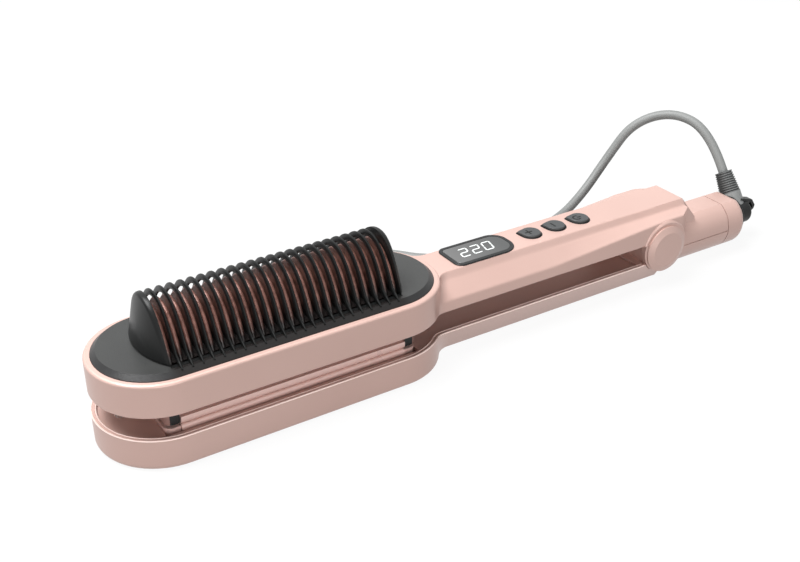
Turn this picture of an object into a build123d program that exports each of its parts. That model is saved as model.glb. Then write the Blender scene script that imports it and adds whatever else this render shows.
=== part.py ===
from build123d import *
from math import atan, cos, degrees, pi, radians, sin, sqrt, tan
import os

os.makedirs("parts", exist_ok=True)

# Hair straightener with a heated comb on its upper arm. Millimetres, +Z up.
# +X runs from the head to the cord, the origin is under the middle of the tool.

# head and handle, seen from above
head_length = 138.0
head_width = 49.2
handle_width = 33.4
neck_radius = 7.0
rim_rounding = 1.0
edge_rounding = 0.5        # of both arms' meeting edges
shoulder_rounding = 1.5    # of the handle's shoulder, and of its step's foot
plateau_rounding = 1.0
foot_rounding = 1.8

# heights, from the table up
lower_height = 12.3
arm_gap = 9.2
upper_height = 13.0
handle_drop = 0.5          # the handle's top lies this far below the head's rim
wall = 2.0
rim_wall = 1.8
cover_recess = 0.8
cover_thickness = 1.6

# handle section
plateau_width = 16.4
step_height = 2.6
step_run = 1.7
side_height = 4.3          # of the handle's upright side behind the head
hinge_side_height = 9.2    # and at the hinge
crease_from_head = 50.0    # where the side starts to grow towards the hinge
lower_bottom_width = 19.0

# hinge
hinge_from_head = 111.3
hinge_height = 17.8
ear_radius = 12.6          # above the upper arm's foot
ear_low_radius = 10.9      # below it
ear_drop = 2.0             # behind the hinge the wide part ends this far below the axis
ear_thickness = 3.1
ear_edge = 0.7
knuckle_radius = 10.6
hinge_gap = 0.35
pin_radius = 2.5
pin_clearance = 0.06
disc_radius = 10.5
disc_face_radius = 7.8
disc_edge = 0.8
disc_thickness = 2.0
arm_past_hinge = 3.0       # the lower arm's floor ends this far behind the axis

# collar behind the hinge, and its end cap
collar_radius = 11.9
collar_lift = 0.3
collar_flat = 10.6         # width of the flat along the collar's top
collar_from_hinge = 11.8
collar_length = 33.0
cap_length = 12.0
cap_rounding = 4.0
hood_flat = 16.2           # the handle's top reaches this far past the hinge
hood_foot = 25.6           # and its slope meets the collar here
cap_seam = 0.4
side_seam = 0.3            # groove between the collar's two halves

# comb
blade_pitch = 3.85
blade_ends = 49.4          # head length without blades, both ends together
comb_shift = 0.55          # the comb sits this far forward of the head's middle
blade_thickness = 1.05
blade_height = 21.4        # of the arch above the head's rim
blade_span = 37.0
blade_band = 2.2
blade_power = 2.3
fin_thickness = 1.7
fin_drop = 3.6             # the fins' tops stay this far below the blades'
fin_inset = 0.8            # of the comb's base from the fins' feet, each side
comb_margin = 2.5
comb_depth = 4.0
comb_lip = 0.3
bevel_width = 1.9
bevel_height = 1.6
flange_thickness = 1.5
rail_width = 1.9
end_cap_reach = 9.1        # its base starts this far in front of the first blade
end_cap_flatness = 1.018   # radius of its face, against the arc through its two base corners
end_cap_lean = 12.0
end_cap_edge = 1.2
fit_gap = 0.2

# plates
plate_margin = 24.0        # from the head's ends
plate_width = 39.6
plate_thickness = 3.0
plate_rise = 1.3           # the lower plate stands this far above the lower rim
plate_gap = 0.3
plate_travel = 0.8
carrier_reach = 5.4
plate_edge = 1.4
carrier_lift = 2.2
heater_thickness = 1.8
spring_radius = 2.2
spring_gap = 0.1
post_margin = 10.0         # of the posts under the carrier, from the plate's ends
spring_margin = 7.0
support_inset = 8.0        # of posts and springs from the plate's long edges

# display and buttons on the handle
display_from_head = 8.2
display_length = 30.4
display_width = 16.4
display_round = 6.8
glass_margin = 1.6
display_rise = 0.5
button_from_head = 50.0
button_pitch = 12.8
button_radius = 4.15
button_rise = 1.1
button_travel = 0.6
button_clearance = 0.25
button_depth = 1.5         # from the shell's inner face to the button's foot
switch_height = 2.0
board_thickness = 1.6
board_margin = 7.5         # from the handle's side to the board's edge

# fastening and inner lead
post_radius = 2.6
screw_radius = 1.1
screw_head_radius = 2.0
screw_length = 8.0
screw_margin = 9.5         # from the head's ends
upper_screw_from_hinge = 22.0
lower_screw_from_hinge = 28.0
lead_room = 4.0
inner_lead_radius = 1.0

# swivel, strain relief and hanging loop
swivel_radius = 8.7
swivel_plate = 1.8
swivel_gap = 0.3
end_wall = 3.2
keeper_thickness = 1.4
keeper_gap = 0.4
shaft_radius = 4.6
shaft_clearance = 0.08
barrel_radius = 5.6
barrel_length = 8.9
elbow_radius = 4.9
elbow_start = 2.7
elbow_reach = 9.4
elbow_lean = 34.4
boot_length = 10.4
boot_root_radius = 4.9
boot_tip_radius = 3.95
boot_ribs = 10
rib_depth = 0.4
loop_reach = 14.2
loop_thickness = 3.2
loop_bar = 1.4
centre_shift = 1.1         # the origin lies this far behind the tool's middle

# cord and plug
cord_radius = 2.2
cord_gap = 0.3
hank_run = 75.0
hank_inner = 12.0
hank_step = 5.0
hank_waist = 6.6
hank_runs = 5              # in each of the two layers
layer_step = 4.9
hank_from_elbow, hank_y = 216.7, 50.5
tie_width = 9.0
tie_thickness = 0.8
tie_gap = 0.15
tail_length = 44.0
plug_length, plug_width, plug_height = 34.0, 24.0, 12.6
plug_pin_radius, plug_pin_length, plug_pin_spacing = 2.0, 19.0, 17.5

# derived places
hinge_from_tip = head_length + hinge_from_head
overall = hinge_from_tip + collar_from_hinge + collar_length + cap_length + swivel_gap + swivel_plate + loop_reach
tip = -overall / 2 - centre_shift
head_x = tip + head_length / 2
head_radius = head_width / 2
rear_x = tip + head_length - head_radius
hinge_x = tip + hinge_from_tip
crease_x = tip + head_length + crease_from_head
upper_z = lower_height + arm_gap
rim_z = upper_z + upper_height
top_z = rim_z - handle_drop
collar_z = collar_radius + collar_lift
collar_x = hinge_x + collar_from_hinge
cap_x = collar_x + collar_length
swivel_x = cap_x + cap_length + swivel_gap
flat_z = collar_z + sqrt(collar_radius**2 - (collar_flat / 2) ** 2)
ear_out = handle_width / 2 + 0.3
ear_in = ear_out - ear_thickness
knuckle_half = ear_in - hinge_gap
plate_length = head_length - 2 * plate_margin
blade_count = int((head_length - blade_ends) / blade_pitch)
blade_from_tip = (head_length - (blade_count - 1) * blade_pitch) / 2 - comb_shift
end_cap_base = blade_from_tip - end_cap_reach
foot_steps = [upper_z, upper_z + edge_rounding * 0.3, upper_z + edge_rounding]


def across(x):
    """Plane across the tool at x, with its sketch axes along Y and Z."""
    return Plane((x, 0, 0), x_dir=(0, 1, 0), z_dir=(1, 0, 0))


def side(y=0.0):
    """Plane along the tool at y, with its sketch axes along X and Z."""
    return Plane((0, y, 0), x_dir=(1, 0, 0), z_dir=(0, -1, 0))


def head_slot(z, inset=0.0):
    """The head's stadium outline at height z, drawn in by inset."""
    with BuildSketch(Plane((head_x, 0, z))) as outline:
        SlotOverall(head_length - 2 * inset, head_width - 2 * inset)
    return outline.sketch


def softened(before, corner, after, length):
    """Four points of the curve that rounds a corner, which starts and ends that length from it."""
    start, end = corner + (before - corner).normalized() * length, corner + (after - corner).normalized() * length
    return [start * (1 - u) ** 2 + corner * 2 * u * (1 - u) + end * u**2 for u in (0, 1 / 3, 2 / 3, 1)]


def handle_side(height):
    """The upper handle's right side from its crease to its plateau, as (half-width, height) points."""
    low, side_top = Vector(handle_width / 2, upper_z), Vector(handle_width / 2 - 0.6, upper_z + height)
    step_foot = Vector(plateau_width / 2 + step_run, top_z - step_height)
    step_top, middle = Vector(plateau_width / 2, top_z), Vector(0, top_z)
    points = softened(low, side_top, step_foot, shoulder_rounding / 2)
    points += softened(side_top, step_foot, step_top, shoulder_rounding / 2)
    return points + softened(step_foot, step_top, middle, plateau_rounding / 2)


def upper_section(x, height, feet):
    """The upper handle's section: flat plateau, steep step, sloping shoulder, upright side, feet."""
    right = feet + [(point.X, point.Y) for point in handle_side(height)]
    with BuildSketch(across(x)) as section:
        with BuildLine():
            Polyline(*right, *[(-y, z) for y, z in reversed(right)], close=True)
        make_face()
    return section.sketch


def upper_hollow(x):
    """The hollow inside the upper handle, one wall in from its section."""
    p, h = plateau_width / 2 - wall * 0.6, handle_width / 2 - wall
    shoulder = upper_z + side_height - wall / 2
    with BuildSketch(across(x)) as section:
        with BuildLine():
            Polyline(
                (-h, upper_z), (-h + 0.6, shoulder), (-p - step_run, top_z - step_height - wall), (-p, top_z - wall),
                (p, top_z - wall), (p + step_run, top_z - step_height - wall), (h - 0.6, shoulder), (h, upper_z),
                close=True,
            )
        make_face()
    return section.sketch


def rim_inset(z):
    """How far the head's wall has drawn in at height z: its foot and its rim are rounded."""
    low, high = upper_z + edge_rounding - z, z - (rim_z - rim_rounding)
    if low > 0:
        return edge_rounding - sqrt(edge_rounding**2 - low**2)
    return rim_rounding - sqrt(rim_rounding**2 - high**2) if high > 0 else 0.0


def lower_section(x, inset=0.0, floor=0.0, ceiling=lower_height):
    """The lower handle's section: its sides lean out from a narrow flat bottom to the open rim."""
    slope = (handle_width - lower_bottom_width) / 2 / lower_height
    foot = lower_bottom_width / 2 - inset + slope * floor
    brim = lower_bottom_width / 2 - inset + slope * ceiling
    with BuildSketch(across(x)) as section:
        with BuildLine():
            Polyline((-foot, floor), (foot, floor), (brim, ceiling), (-brim, ceiling), close=True)
        make_face()
    return section.sketch


def neck_outline(z, half, inset):
    """The head's outline with the handle's width running back from it, seen from above."""
    with BuildSketch(Plane.XY.offset(z)) as outline:
        with Locations((head_x, 0)):
            SlotOverall(head_length - 2 * inset, head_width - 2 * inset)
        with Locations(((rear_x + crease_x) / 2, 0)):
            Rectangle(crease_x - rear_x, 2 * half)
        corners = [v for v in outline.vertices() if rear_x < v.X < rear_x + head_radius and abs(abs(v.Y) - half) < 0.01]
        fillet(corners, neck_radius)
    return outline.sketch


def d_outline(x, inset=0.0):
    """The collar's section: a circle with a flat along its top."""
    r = collar_radius - inset
    with BuildSketch(across(x)) as section:
        with Locations((0, collar_z)):
            Circle(r)
        with Locations((0, flat_z - inset + collar_radius / 2)):
            Rectangle(2 * collar_radius, collar_radius, mode=Mode.SUBTRACT)
    return section.sketch


def ring_of(x_from, x_to, z, half):
    """A rectangle on the head's middle line at height z."""
    with BuildSketch(Plane.XY.offset(z)) as outline:
        with Locations(((x_from + x_to) / 2, 0)):
            Rectangle(x_to - x_from, 2 * half)
    return outline.sketch


def hinge_plane(y):
    """Plane at y with its origin on the hinge axis and its normal along -Y."""
    return Plane((hinge_x, y, hinge_height), x_dir=(1, 0, 0), z_dir=(0, -1, 0))


def hinge_circle(y, radius):
    """A circle round the hinge axis, in the plane at y."""
    with BuildSketch(hinge_plane(y)) as outline:
        Circle(radius)
    return outline.sketch


def arch(x, span, height, foot=rim_z):
    """A blade's outline across the tool: height falls off as |y| to the blade power."""
    half = span / 2
    steps = [half * (2 * i / 12 - 1) for i in range(13)]
    with BuildSketch(across(x)) as outline:
        with BuildLine():
            Spline([(y, foot + height * (1 - abs(y / half) ** blade_power)) for y in steps])
            Line((half, foot), (-half, foot))
        make_face()
    return outline.sketch


def teardrop(x, z, grow=0.0):
    """A button's outline: a disc drawn out to a soft point towards the head and the far side."""
    r = button_radius + grow
    with BuildSketch(Plane((x, 0, z), x_dir=(cos(radians(36)), -sin(radians(36)), 0), z_dir=(0, 0, 1))) as outline:
        Circle(r)
        with BuildLine():
            Polyline((-1.36 * r, 0), (-0.72 * r, 0.69 * r), (0, 0), (-0.72 * r, -0.69 * r), close=True)
        make_face()
        fillet(outline.vertices().sort_by(Axis.X)[0:1], 0.8)
    return outline.sketch


def display_outline(z, grow=0.0):
    """The display's outline: a blunt end towards the head and a round one towards the buttons."""
    with BuildSketch(Plane.XY.offset(z)) as outline:
        with Locations((display_x, 0)):
            Rectangle(display_length + 2 * grow, display_width + 2 * grow)
        fillet(outline.vertices().group_by(Axis.X)[-1], display_round + grow)
        fillet(outline.vertices().group_by(Axis.X)[0], display_round / 2 + grow)
    return outline.sketch


# heights inside the arms
comb_ledge = rim_z - comb_depth - flange_thickness
bezel_z = comb_ledge + flange_thickness
base_z = rim_z + comb_lip + bevel_height
cover_z = upper_z + cover_recess
lower_cover_z = lower_height - cover_recess - cover_thickness
plate_z = lower_height + plate_rise
upper_plate_z = plate_z + plate_gap
carrier_z = upper_plate_z + plate_thickness
plate_x = head_x
carrier_half = plate_length / 2 + fit_gap + carrier_reach
opening_half = plate_width / 2 + 0.5
knuckle_room = knuckle_radius + hinge_gap
board_z = top_z - wall - button_depth - switch_height - board_thickness
comb_front = tip + blade_from_tip - blade_pitch / 2
comb_rear = comb_front + blade_count * blade_pitch
window_front = comb_front - fin_thickness / 2 - fit_gap
window_rear = comb_rear + fin_thickness / 2 + fit_gap
end_cap_depth = window_front + fit_gap / 2 - tip - end_cap_base
end_cap_half = blade_span / 2 * (1 - (base_z - rim_z) / blade_height) ** (1 / blade_power)
end_cap_radius = end_cap_flatness * (end_cap_depth**2 + end_cap_half**2) / (2 * end_cap_depth)
display_x = tip + head_length + display_from_head + display_length / 2
button_x = [tip + head_length + button_from_head + i * button_pitch for i in range(3)]
board_half = handle_width / 2 - board_margin
upper_screws = [tip + screw_margin, tip + head_length - screw_margin, hinge_x - upper_screw_from_hinge]
lower_screws = [tip + screw_margin, tip + head_length - screw_margin, hinge_x - lower_screw_from_hinge]
elbow_x = swivel_x + swivel_plate + elbow_radius - 1.1
hank_x = elbow_x - hank_from_elbow

# the hood: the upper handle carried over the hinge, with a sloping tongue down to the collar
with BuildPart() as hood:
    extrude(upper_section(hinge_x, hinge_side_height, [(handle_width / 2, collar_z)]), collar_from_hinge + 4.5)
    with BuildSketch(Plane.XY.offset(collar_z)):
        with BuildLine():
            Polyline(
                (hinge_x, handle_width / 2), (hinge_x + collar_from_hinge - 3, handle_width / 2),
                (hinge_x + collar_from_hinge + 4.5, collar_radius), (hinge_x + collar_from_hinge + 4.5, -collar_radius),
                (hinge_x + collar_from_hinge - 3, -handle_width / 2), (hinge_x, -handle_width / 2), close=True,
            )
        make_face()
    extrude(amount=top_z - collar_z + 1, mode=Mode.INTERSECT)
    with BuildSketch(Plane.XY.offset(collar_z - 1)):
        with Locations((hinge_x + collar_from_hinge / 2, 0)):
            Rectangle(collar_from_hinge, handle_width + 1)
    extrude(amount=upper_z - collar_z + 1, mode=Mode.SUBTRACT)
    with BuildSketch(side(plateau_width / 2)):
        with BuildLine():
            Polyline(
                (hinge_x, top_z - step_height), (hinge_x, top_z), (hinge_x + hood_flat, top_z),
                (hinge_x + hood_foot, flat_z), (hinge_x + hood_foot, flat_z - 2), (hinge_x + hood_flat, collar_z + 4),
                (hinge_x + collar_from_hinge, collar_z + 4), close=True,
            )
        make_face()
    extrude(amount=plateau_width)


def ear_pair(radius):
    """Both hinge ears as discs with a bevelled outer edge."""
    with BuildPart() as pair:
        for face, turn in ((ear_out, 1), (-ear_out, -1)):
            extrude(hinge_circle(face - turn * ear_edge, radius), turn * (ear_thickness - ear_edge))
            loft([hinge_circle(face - turn * ear_edge, radius), hinge_circle(face, radius - ear_edge)], ruled=True)
    return pair.part


# the ears: wide on the hood, close round the disc below the arm's foot
wide_ears, close_ears = ear_pair(ear_radius), ear_pair(ear_low_radius)
with BuildPart() as ears:
    add(wide_ears)
    with BuildSketch(side(ear_out + 1)):
        with BuildLine():
            Polyline(
                (hinge_x - ear_radius - 1, 0), (hinge_x - ear_radius - 1, upper_z), (hinge_x, upper_z),
                (hinge_x, hinge_height - ear_drop), (hinge_x + ear_radius + 1, hinge_height - ear_drop),
                (hinge_x + ear_radius + 1, 0), close=True,
            )
        make_face()
    extrude(amount=2 * ear_out + 2, mode=Mode.SUBTRACT)
    add(close_ears)

# upper shell: head ring, handle, hood, the two hinge ears and the top half of the collar
with BuildPart() as upper_shell:
    feet = [(handle_width / 2 - rim_inset(z), z) for z in foot_steps]
    levels = feet + [(point.X, point.Y) for point in handle_side(side_height)]
    loft([neck_outline(z, half, rim_inset(z)) for half, z in levels], ruled=True)
    loft([upper_section(crease_x, side_height, feet), upper_section(hinge_x, hinge_side_height, feet)],
         ruled=True)
    rim_steps = [top_z + (rim_z - top_z) * share for share in (0, 0.4, 0.75, 1)]
    loft([head_slot(z, rim_inset(z)) for z in rim_steps], ruled=True)
    add(hood.part)
    add(ears.part)
    extrude(d_outline(collar_x), collar_length)
    with BuildSketch(Plane.XY):
        with Locations((collar_x + collar_length / 2 + 5, 0)):
            Rectangle(collar_length + 10, 2 * collar_radius + 1)
    extrude(amount=collar_z, mode=Mode.SUBTRACT)
    # the comb's seat, the hollow under it and the handle's hollow
    extrude(head_slot(comb_ledge, comb_margin - fit_gap / 2), upper_height, mode=Mode.SUBTRACT)
    extrude(head_slot(upper_z, comb_margin + 2), upper_height, mode=Mode.SUBTRACT)
    extrude(head_slot(upper_z, wall), comb_ledge - 1.6 - upper_z, mode=Mode.SUBTRACT)
    extrude(upper_hollow(rear_x), hinge_x - rear_x, mode=Mode.SUBTRACT)
    # room for the knuckle between the ears, and for the lead round it into the collar
    with BuildSketch(hinge_plane(ear_in)):
        Circle(knuckle_room)
    extrude(amount=2 * ear_in, mode=Mode.SUBTRACT)
    with BuildSketch(side(lead_room)):
        with BuildLine():
            Polyline(
                (hinge_x - 2, top_z - wall), (hinge_x + hood_flat - wall / 2, top_z - wall),
                (hinge_x + hood_foot - 2 * wall, flat_z), (hinge_x + hood_foot - 2 * wall, collar_z),
                (collar_x + wall, collar_z), (collar_x + wall, flat_z + 2), (hinge_x - 2, flat_z + 2), close=True,
            )
        make_face()
    extrude(amount=2 * lead_room, mode=Mode.SUBTRACT)
    extrude(d_outline(collar_x + wall, wall), collar_length, mode=Mode.SUBTRACT)
    # display window, button holes and pin bores
    extrude(display_outline(top_z - wall - 1, -0.8), wall + 2, mode=Mode.SUBTRACT)
    for x in button_x:
        extrude(teardrop(x, top_z - wall - 1, button_clearance), wall + 2, mode=Mode.SUBTRACT)
    with BuildSketch(hinge_plane(ear_out + 1)):
        Circle(pin_radius)
    extrude(amount=2 * ear_out + 2, mode=Mode.SUBTRACT)
    # a screw post in the handle
    with BuildSketch(Plane.XY.offset(cover_z + cover_thickness)):
        with Locations((upper_screws[2], 0)):
            Circle(post_radius)
    extrude(amount=top_z - wall - cover_z - cover_thickness + 0.3)
    with BuildSketch(Plane.XY.offset(cover_z + cover_thickness)):
        with Locations((upper_screws[2], 0)):
            Circle(screw_radius)
    extrude(amount=screw_length - cover_thickness, mode=Mode.SUBTRACT)
print("upper shell", upper_shell.part.is_valid, len(upper_shell.part.solids()), round(upper_shell.part.volume))
upper_shell.part.label = "upper_shell"
export_step(upper_shell.part, "parts/upper_shell.step")

# lower half of the collar
with BuildPart() as collar_cover:
    extrude(d_outline(collar_x), collar_length)
    extrude(d_outline(collar_x + wall, wall), collar_length, mode=Mode.SUBTRACT)
    with BuildSketch(Plane.XY.offset(collar_z)):
        with Locations((collar_x + collar_length / 2, 0)):
            Rectangle(collar_length + 2, 2 * collar_radius + 1)
    extrude(amount=collar_radius + 1, mode=Mode.SUBTRACT)
    with BuildSketch(hinge_plane(collar_radius + 1)):
        Circle(knuckle_room)
    extrude(amount=2 * collar_radius + 2, mode=Mode.SUBTRACT)
    with BuildSketch(across(collar_x)):
        with Locations((-collar_radius, collar_z), (collar_radius, collar_z)):
            Rectangle(1.0, 2 * side_seam)
    extrude(amount=collar_length, mode=Mode.SUBTRACT)
collar_cover.part.label = "collar_cover"
export_step(collar_cover.part, "parts/collar_cover.step")

# end cap: closes the collar and carries the swivel in its bore
with BuildPart() as end_cap:
    extrude(d_outline(cap_x + cap_seam), cap_length - cap_seam)
    fillet(end_cap.faces().sort_by(Axis.X)[-1].outer_wire().edges(), cap_rounding)
    extrude(d_outline(cap_x, wall + 0.1), cap_seam + 0.5)
    extrude(d_outline(cap_x, wall + 1.6), cap_length - end_wall, mode=Mode.SUBTRACT)
    with BuildSketch(across(cap_x)):
        with Locations((0, collar_z)):
            Circle(shaft_radius + shaft_clearance)
    extrude(amount=cap_length + 1, mode=Mode.SUBTRACT)
end_cap.part.label = "end_cap"
export_step(end_cap.part, "parts/end_cap.step")

# inner cover of the upper arm, with the plate carrier's opening
with BuildPart() as upper_cover:
    extrude(head_slot(cover_z, wall + fit_gap / 2), cover_thickness)
    with BuildSketch(Plane.XY.offset(cover_z)):
        with Locations(((rear_x + hinge_x) / 2, 0)):
            Rectangle(hinge_x - rear_x, handle_width - 2 * wall - 4 * fit_gap)
    extrude(amount=cover_thickness)
    extrude(ring_of(plate_x - carrier_half - fit_gap, plate_x + carrier_half + fit_gap, cover_z, opening_half),
            cover_thickness, mode=Mode.SUBTRACT)
    with BuildSketch(hinge_plane(ear_in)):
        Circle(knuckle_room + fit_gap)
    extrude(amount=2 * ear_in, mode=Mode.SUBTRACT)
    with BuildSketch(Plane.XY.offset(cover_z)):
        with Locations(*[(x, 0) for x in upper_screws]):
            Circle(screw_radius)
    extrude(amount=cover_thickness, mode=Mode.SUBTRACT)
    with BuildSketch(Plane.XY.offset(cover_z)):
        with Locations(*[(x, 0) for x in upper_screws]):
            Circle(screw_head_radius + 0.1)
    extrude(amount=cover_thickness / 2, mode=Mode.SUBTRACT)
upper_cover.part.label = "upper_cover"
export_step(upper_cover.part, "parts/upper_cover.step")

# comb base: bevelled black inlay with the comb's window and two screw posts
with BuildPart() as comb_base:
    extrude(head_slot(bezel_z, comb_margin), rim_z + comb_lip - bezel_z)
    loft([head_slot(rim_z + comb_lip, comb_margin), head_slot(base_z, comb_margin + bevel_width)])
    extrude(ring_of(window_front, window_rear, bezel_z, blade_span / 2 + fit_gap),
            base_z - bezel_z, mode=Mode.SUBTRACT)
    with BuildSketch(Plane.XY.offset(cover_z + cover_thickness)):
        with Locations(*[(x, 0) for x in upper_screws[:2]]):
            Circle(post_radius)
    extrude(amount=bezel_z - cover_z - cover_thickness)
    with BuildSketch(Plane.XY.offset(cover_z + cover_thickness)):
        with Locations(*[(x, 0) for x in upper_screws[:2]]):
            Circle(screw_radius)
    extrude(amount=screw_length - cover_thickness, mode=Mode.SUBTRACT)
comb_base.part.label = "comb_base"
export_step(comb_base.part, "parts/comb_base.step")

# guard: thin arched blades joined by a rail along each foot
with BuildPart() as comb_blades:
    for i in range(blade_count):
        x = tip + blade_from_tip + i * blade_pitch - blade_thickness / 2
        extrude(arch(x, blade_span, blade_height), blade_thickness)
        extrude(arch(x, blade_span - 2 * blade_band, blade_height - blade_band), blade_thickness, mode=Mode.SUBTRACT)
    for y in (-blade_span / 2 + rail_width / 2, blade_span / 2 - rail_width / 2):
        with BuildSketch(Plane.XY.offset(bezel_z)):
            with Locations(((window_front + window_rear) / 2, y)):
                Rectangle(window_rear - window_front - 2 * fit_gap, rail_width)
        extrude(amount=base_z - bezel_z)
print("blades", comb_blades.part.is_valid, len(comb_blades.part.solids()))
comb_blades.part.label = "comb_blades"
export_step(comb_blades.part, "parts/comb_blades.step")

# D-shaped caps in front of and behind the comb, each leaning towards it
with BuildPart() as front_cap:
    extrude(arch(tip + end_cap_base, blade_span, blade_height), end_cap_depth)
    with BuildSketch(Plane.XY.offset(base_z)):
        with Locations((tip + end_cap_base + end_cap_radius, 0)):
            Circle(end_cap_radius)
    extrude(amount=1.2 * blade_height, dir=(sin(radians(end_cap_lean)), 0, cos(radians(end_cap_lean))),
            mode=Mode.INTERSECT)
    fillet(front_cap.edges().filter_by(lambda e: e.center().Z > base_z + 1 and e.center().X < window_front - 1
                                       and e.length > blade_span), end_cap_edge)
front_cap.part.label = "front_cap"
export_step(front_cap.part, "parts/front_cap.step")
print("front cap", front_cap.part.is_valid, front_cap.part.bounding_box())

with BuildPart() as rear_cap:
    mirror(front_cap.part, about=Plane.YZ.offset((comb_front + comb_rear) / 2))
rear_cap.part.label = "rear_cap"
export_step(rear_cap.part, "parts/rear_cap.step")

# heated comb: metal fins between the blades, on one base held under the comb's window
fin_span = blade_span - 2 * rail_width - 2 * fit_gap - 0.2
with BuildPart() as heated_comb:
    extrude(head_slot(comb_ledge, comb_margin + 0.3), flange_thickness - 0.1)
    extrude(ring_of(window_front + fit_gap, window_rear - fit_gap, comb_ledge, fin_span / 2 - fin_inset),
            base_z - 0.4 - comb_ledge)
    for i in range(blade_count + 1):
        x = comb_front + i * blade_pitch - fin_thickness / 2
        extrude(arch(x, fin_span, blade_height - fin_drop), fin_thickness)
    with BuildSketch(Plane.XY.offset(comb_ledge)):
        with Locations(*[(x, 0) for x in upper_screws[:2]]):
            Circle(post_radius + 0.2)
    extrude(amount=flange_thickness, mode=Mode.SUBTRACT)
print("heated comb", heated_comb.part.is_valid, len(heated_comb.part.solids()))
heated_comb.part.label = "heated_comb"
export_step(heated_comb.part, "parts/heated_comb.step")

# comb heater pressed under the heated comb, and the heat shield between the two heaters
heater_length = comb_rear - comb_front - 6
with BuildPart() as comb_heater:
    extrude(ring_of(plate_x - heater_length / 2, plate_x + heater_length / 2, comb_ledge - heater_thickness, 9.0),
            heater_thickness)
comb_heater.part.label = "comb_heater"
export_step(comb_heater.part, "parts/comb_heater.step")

# black carrier of the upper plate: a block through the cover with a flange inside and a guard at each end
with BuildPart() as upper_carrier:
    carrier_top = cover_z + cover_thickness + 1.3
    extrude(ring_of(plate_x - plate_length / 2 - fit_gap, plate_x + plate_length / 2 + fit_gap, carrier_z,
                    plate_width / 2 - 1.2), carrier_top - carrier_z)
    for end in (-1, 1):
        x = plate_x + end * (plate_length / 2 + fit_gap)
        extrude(ring_of(min(x, x + end * carrier_reach), max(x, x + end * carrier_reach), upper_plate_z + 0.5,
                        plate_width / 2 - 0.6), carrier_top - upper_plate_z - 0.5)
    corners = upper_carrier.edges().filter_by(Axis.Z).filter_by(lambda e: abs(e.center().Y) > plate_width / 2 - 0.9)
    fillet([e for e in corners if abs(e.center().X - plate_x) > carrier_half - 0.1], 3.0)
    extrude(ring_of(plate_x - carrier_half + 3, plate_x + carrier_half - 3, carrier_top - 1.3, opening_half + 0.8), 1.3)
    extrude(ring_of(plate_x - heater_length / 2 - fit_gap, plate_x + heater_length / 2 + fit_gap, carrier_z,
                    9.0 + fit_gap), heater_thickness + fit_gap, mode=Mode.SUBTRACT)
print("upper carrier", upper_carrier.part.is_valid, len(upper_carrier.part.solids()))
upper_carrier.part.label = "upper_carrier"
export_step(upper_carrier.part, "parts/upper_carrier.step")

with BuildPart() as heat_shield:
    extrude(ring_of(plate_x - carrier_half + 4, plate_x + carrier_half - 4, carrier_top, opening_half), 0.8)
heat_shield.part.label = "heat_shield"
export_step(heat_shield.part, "parts/heat_shield.step")

with BuildPart() as upper_heater:
    extrude(ring_of(plate_x - heater_length / 2, plate_x + heater_length / 2, carrier_z, 9.0), heater_thickness)
upper_heater.part.label = "upper_heater"
export_step(upper_heater.part, "parts/upper_heater.step")

# heated plates with rounded long edges
with BuildPart() as upper_plate:
    extrude(ring_of(plate_x - plate_length / 2, plate_x + plate_length / 2, upper_plate_z, plate_width / 2),
            plate_thickness)
    fillet(upper_plate.faces().sort_by(Axis.Z)[0].edges().filter_by(Axis.X), plate_edge)
upper_plate.part.label = "upper_plate"
export_step(upper_plate.part, "parts/upper_plate.step")

with BuildPart() as lower_plate:
    extrude(ring_of(plate_x - plate_length / 2, plate_x + plate_length / 2, plate_z - plate_thickness, plate_width / 2),
            plate_thickness)
    fillet(lower_plate.faces().sort_by(Axis.Z)[-1].edges().filter_by(Axis.X), plate_edge)
lower_plate.part.label = "lower_plate"
export_step(lower_plate.part, "parts/lower_plate.step")

lower_heater_z = plate_z - plate_thickness - heater_thickness
with BuildPart() as lower_heater:
    extrude(ring_of(plate_x - heater_length / 3, plate_x + heater_length / 3, lower_heater_z, 9.0), heater_thickness)
lower_heater.part.label = "lower_heater"
export_step(lower_heater.part, "parts/lower_heater.step")

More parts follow.
